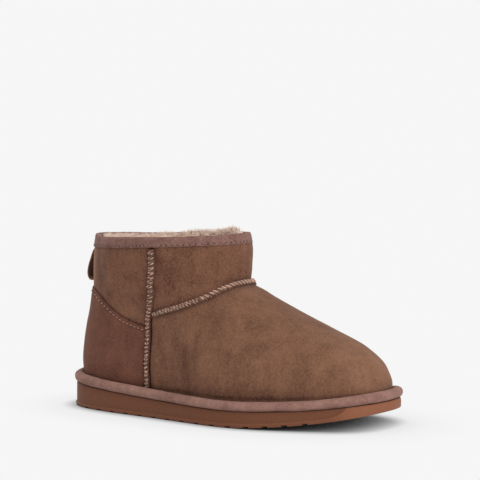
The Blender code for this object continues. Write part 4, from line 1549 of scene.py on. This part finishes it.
def roots_on(grid, count, seed):
    """Random places on a grid of points, with the direction out of its surface."""
    dice = np.random.default_rng(seed)
    last_row = grid.shape[0] - 1 - 1e-6
    row, column = dice.uniform(0, last_row, count), dice.uniform(0, grid.shape[1], count)
    r, c = row.astype(int), column.astype(int)
    beside, above = (c + 1) % grid.shape[1], np.minimum(r + 1, grid.shape[0] - 1)
    u, v = (row - r)[:, None], (column - c)[:, None]
    corner, right = grid[r, c], grid[r, beside]
    high_corner, high_right = grid[above, c], grid[above, beside]
    place = (corner * (1 - v) + right * v) * (1 - u) + (high_corner * (1 - v) + high_right * v) * u
    normal = np.cross(right - corner, high_corner - corner)
    return place, normal


print("triangles of one lock:", LOCK_SIDES * (LOCK_STEPS - 1) * 2 + 2)

# %% Body of the fleece at the mouth
FLEECE_PROFILE_MM = [
    # inside the upper, depth under the rim
    (3.5, 30), (3.4, 22), (3.4, 14), (3.4, 7.0), (4.8, 6.2), (4.8, 0.5), (6.8, -0.2),
    (10.0, 0.4), (12.6, 4.0), (13.2, 13.0), (11.5, 24.0), (7.5, 30),
]
FLEECE_RISE_MM = [
    # turn, how far the fleece rises over the rim
    (0, 3.0), (0.05, 3.0), (0.085, 1.2), (0.12, -2.0), (0.33, -2.2), (0.42, -1.6), (0.66, -1.4),
    (0.69, 0.2), (0.708, 1.7), (0.725, 0.9), (0.745, 0.2), (0.78, -0.9), (0.80, -0.1), (0.83, -0.5),
    (0.85, -0.1), (0.89, 0.6), (0.92, 1.4), (0.96, 2.1), (1, 3.0),
]
RISE_WAVER = 0.7 * MM
FLEECE_LUMP = 4.5 * MM
FLEECE_LUMP_LIFT = 0.54 * MM
RISE_DEPTH = 4 * MM
RISE_FROM = 5 * MM
FLEECE_COLUMNS = 260
fleece_turns = even_turns(FLEECE_COLUMNS)
profile = rounded(FLEECE_PROFILE_MM, 1) * MM
rise = read(FLEECE_RISE_MM, fleece_turns) * MM
rise += RISE_WAVER * lumps(bare_point(TOP_LEVEL, fleece_turns), 9 * MM, 5.0)
rings = []
for inside, depth in profile:
    lifted = -depth + rise * bell(max(depth - 1 * MM, 0), RISE_DEPTH) * (inside > RISE_FROM)
    ring = near_rim(fleece_turns, -inside, np.minimum(lifted, 0))
    ring[:, 2] += np.maximum(lifted, 0)
    rings.append(ring)
body_grid = np.array(rings)
body_grid[..., 2] += lumps(body_grid, FLEECE_LUMP) * FLEECE_LUMP_LIFT
make_piece(
    "fleece_collar_body",
    body_grid,
    grid_faces(len(profile), FLEECE_COLUMNS, wrap_rows=True),
    fleece_wool,
    "fleece",
    ["fleece_collar"],
    turn_out=True,
)
print("points of the fleece's outline:", len(profile))

# %% Locks on the rim
RIM_LOCKS = 9600
RIM_LOCK_MM = [
    # turn, length of the locks
    (0, 2.6), (0.09, 2.4), (0.3, 2.4), (0.42, 3.2), (0.66, 3.2),
    (0.7, 4.6), (0.78, 4.0), (0.83, 2.8), (1, 2.4),
]
seen_rows = [i for i, (inside, depth) in enumerate(profile) if depth < 5 * MM and inside > RISE_FROM]
rim_grid = body_grid[min(seen_rows): max(seen_rows) + 4]
roots, normals = roots_on(rim_grid, RIM_LOCKS, 21)
up = normals * np.where(normals[:, 2:] < 0, -1, 1)
nearest = near_points(body_grid[0])
root_turn = np.array([fleece_turns[nearest.find((x, y, body_grid[0, 0, 2]))[1]] for x, y, _ in roots])
print("rows of the outline that carry the rim's locks:", len(seen_rows))
wool("fleece_collar_locks", roots, up, read(RIM_LOCK_MM, root_turn) * MM, 0.41 * MM, 31)

# %% [markdown]
# ## Lining and insole
#
# Below the mouth the fleece goes on down to the insole, which is a pad with the same
# wool on it. A bump texture would do in the dark of the boot, but the inside is also seen
# from above. So both get real locks, thicker and further apart than those on the rim.

# %% Lining
LINING_ROWS = 60
LINING_COLUMNS = 240
LINING_LOCKS = 6000
PILE_BASE = 4.6 * MM
lining_levels = np.linspace(9.2, 0.55, LINING_ROWS)
level, turn = np.meshgrid(lining_levels, even_turns(LINING_COLUMNS), indexing="ij")
wall_grid = skin_point(level, turn, -PILE_BASE)
wall_grid += outward(level, turn) * (lumps(wall_grid, 5 * MM) * 0.6 * MM)[..., None]
lining = make_piece(
    "fleece_lining",
    wall_grid,
    grid_faces(LINING_ROWS, LINING_COLUMNS),
    fleece_wool,
    "fleece",
)
lining_depth = lining.modifiers.new("pile", "SOLIDIFY")
lining_depth.thickness = 1.2 * MM
lining_depth.offset = 1
roots, normals = roots_on(wall_grid, LINING_LOCKS, 22)
inwards = np.column_stack([SOLE_LENGTH * 0.35 - roots[:, 0], -roots[:, 1], np.zeros(len(roots))])
normals *= np.sign(np.einsum("ij,ij->i", normals, inwards))[:, None]
wool("fleece_lining_locks", roots, normals, 5.0 * MM, 0.75 * MM, 32)

# %% Insole
INSOLE_INSET = 10.4 * MM
INSOLE_THICK = 5 * MM
INSOLE_EDGE = 1.2 * MM
INSOLE_SEAT = 0.5 * MM
INSOLE_COLUMNS = 240
INSOLE_LOCKS = 4500
insole_turns = even_turns(INSOLE_COLUMNS)


def insole_ring(inset, lift, drawn_in=1.0):
    """A ring of the pad, lifted over the sole's upper face and drawn in to the middle."""
    flat = MIDDLE + (sole_edge(insole_turns, INSOLE_INSET + inset) - MIDDLE) * drawn_in
    return np.column_stack([flat, sole_top(flat[:, 0]) + lift])


low, high = INSOLE_SEAT, INSOLE_SEAT + INSOLE_THICK
insole_rings = [insole_ring(0, low, share) for share in (0.02, 0.5, 1.0)]
insole_rings += [insole_ring(0, high - INSOLE_EDGE), insole_ring(INSOLE_EDGE / 3, high - INSOLE_EDGE / 4)]
insole_rings += [insole_ring(INSOLE_EDGE, high, share) for share in np.linspace(1, 0.02, 22)]
insole_grid = np.array(insole_rings)
faces = grid_faces(len(insole_grid), INSOLE_COLUMNS)
faces.append(list(range(INSOLE_COLUMNS)))
faces.append([len(insole_grid) * INSOLE_COLUMNS - INSOLE_COLUMNS + i for i in range(INSOLE_COLUMNS)])
insole = make_piece("insole_pad", insole_grid, faces, fleece_wool, "insole_fleece", ["insole"], turn_out=True)
print("insole's thickness in mm:", round(INSOLE_THICK / MM, 1))

# %% Wool on the insole
dice = np.random.default_rng(23)
share = np.sqrt(dice.uniform(0.0, 1.0, INSOLE_LOCKS))
at_edge = sole_edge(dice.uniform(0, 1, INSOLE_LOCKS), INSOLE_INSET + INSOLE_EDGE)
flat = MIDDLE + (at_edge - MIDDLE) * share[:, None]
roots = np.column_stack([flat, sole_top(flat[:, 0]) + high - 0.3 * MM])
wool("insole_locks", roots, np.tile([0.0, 0.0, 1.0], (len(roots), 1)), 5.0 * MM, 0.85 * MM, 33)

# %% [markdown]
# ## Pull loop
#
# A strip of suede is folded double and sewn under the binding behind the heel. A bevelled
# curve would twist at the tight bend, so the loop is swept by hand: its outline, seen from
# the side, is a smooth closed curve, and a rounded slice of the strip runs along it.
# Across its width it bends with the round shaft.

# %% Loop
LOOP_PATH_MM = [
    # off the shaft, height
    (1.3, 121.0), (2.4, 122.2), (3.8, 120.6), (5.7, 115.5), (7.6, 110.0), (8.8, 104.8),
    (8.6, 100.6), (6.5, 97.8), (3.6, 97.9), (1.7, 100.6), (1.3, 105.5), (1.3, 113.5),
]
LOOP_THICK = 1.7 * MM
LOOP_WIDTH = 18 * MM
LOOP_STEPS = 96
SHAFT_RADIUS = 47 * MM
SLICE_POINTS = 12
SLICE_FLAT = 0.47
slice_shape = np.array(
    [(0.5, y) for y in np.linspace(-SLICE_FLAT, SLICE_FLAT, SLICE_POINTS)]
    + [(0.25, 0.5), (-0.25, 0.5)]
    + [(-0.5, y) for y in np.linspace(SLICE_FLAT, -SLICE_FLAT, SLICE_POINTS)]
    + [(-0.25, -0.5), (0.25, -0.5)]
)
back_line = skin_point(np.linspace(5, TOP_LEVEL, 80), 0.0)
loop_line = closed_curve(np.array(LOOP_PATH_MM) * MM, even_turns(LOOP_STEPS))
loop_run = np.roll(loop_line, -1, axis=0) - np.roll(loop_line, 1, axis=0)
loop_run /= np.linalg.norm(loop_run, axis=1)[:, None]
loop_side = np.column_stack([loop_run[:, 1], -loop_run[:, 0]])
slices = []
for centre, side in zip(loop_line, loop_side):
    off = centre[None] + side[None] * (slice_shape[:, :1] * LOOP_THICK)
    y = slice_shape[:, 1] * LOOP_WIDTH
    x = np.interp(off[:, 1], back_line[:, 2], back_line[:, 0]) - off[:, 0] + y**2 / (2 * SHAFT_RADIUS)
    slices.append(np.column_stack([x, y, off[:, 1]]))
loop_grid = np.array(slices)
loop_suede = suede("loop_suede", (0.165, 0.080, 0.053), tone=False)
make_piece(
    "pull_loop_strip",
    loop_grid,
    grid_faces(LOOP_STEPS, len(slice_shape), wrap_rows=True),
    loop_suede,
    "loop_suede",
    ["pull_loop"],
    turn_out=True,
)
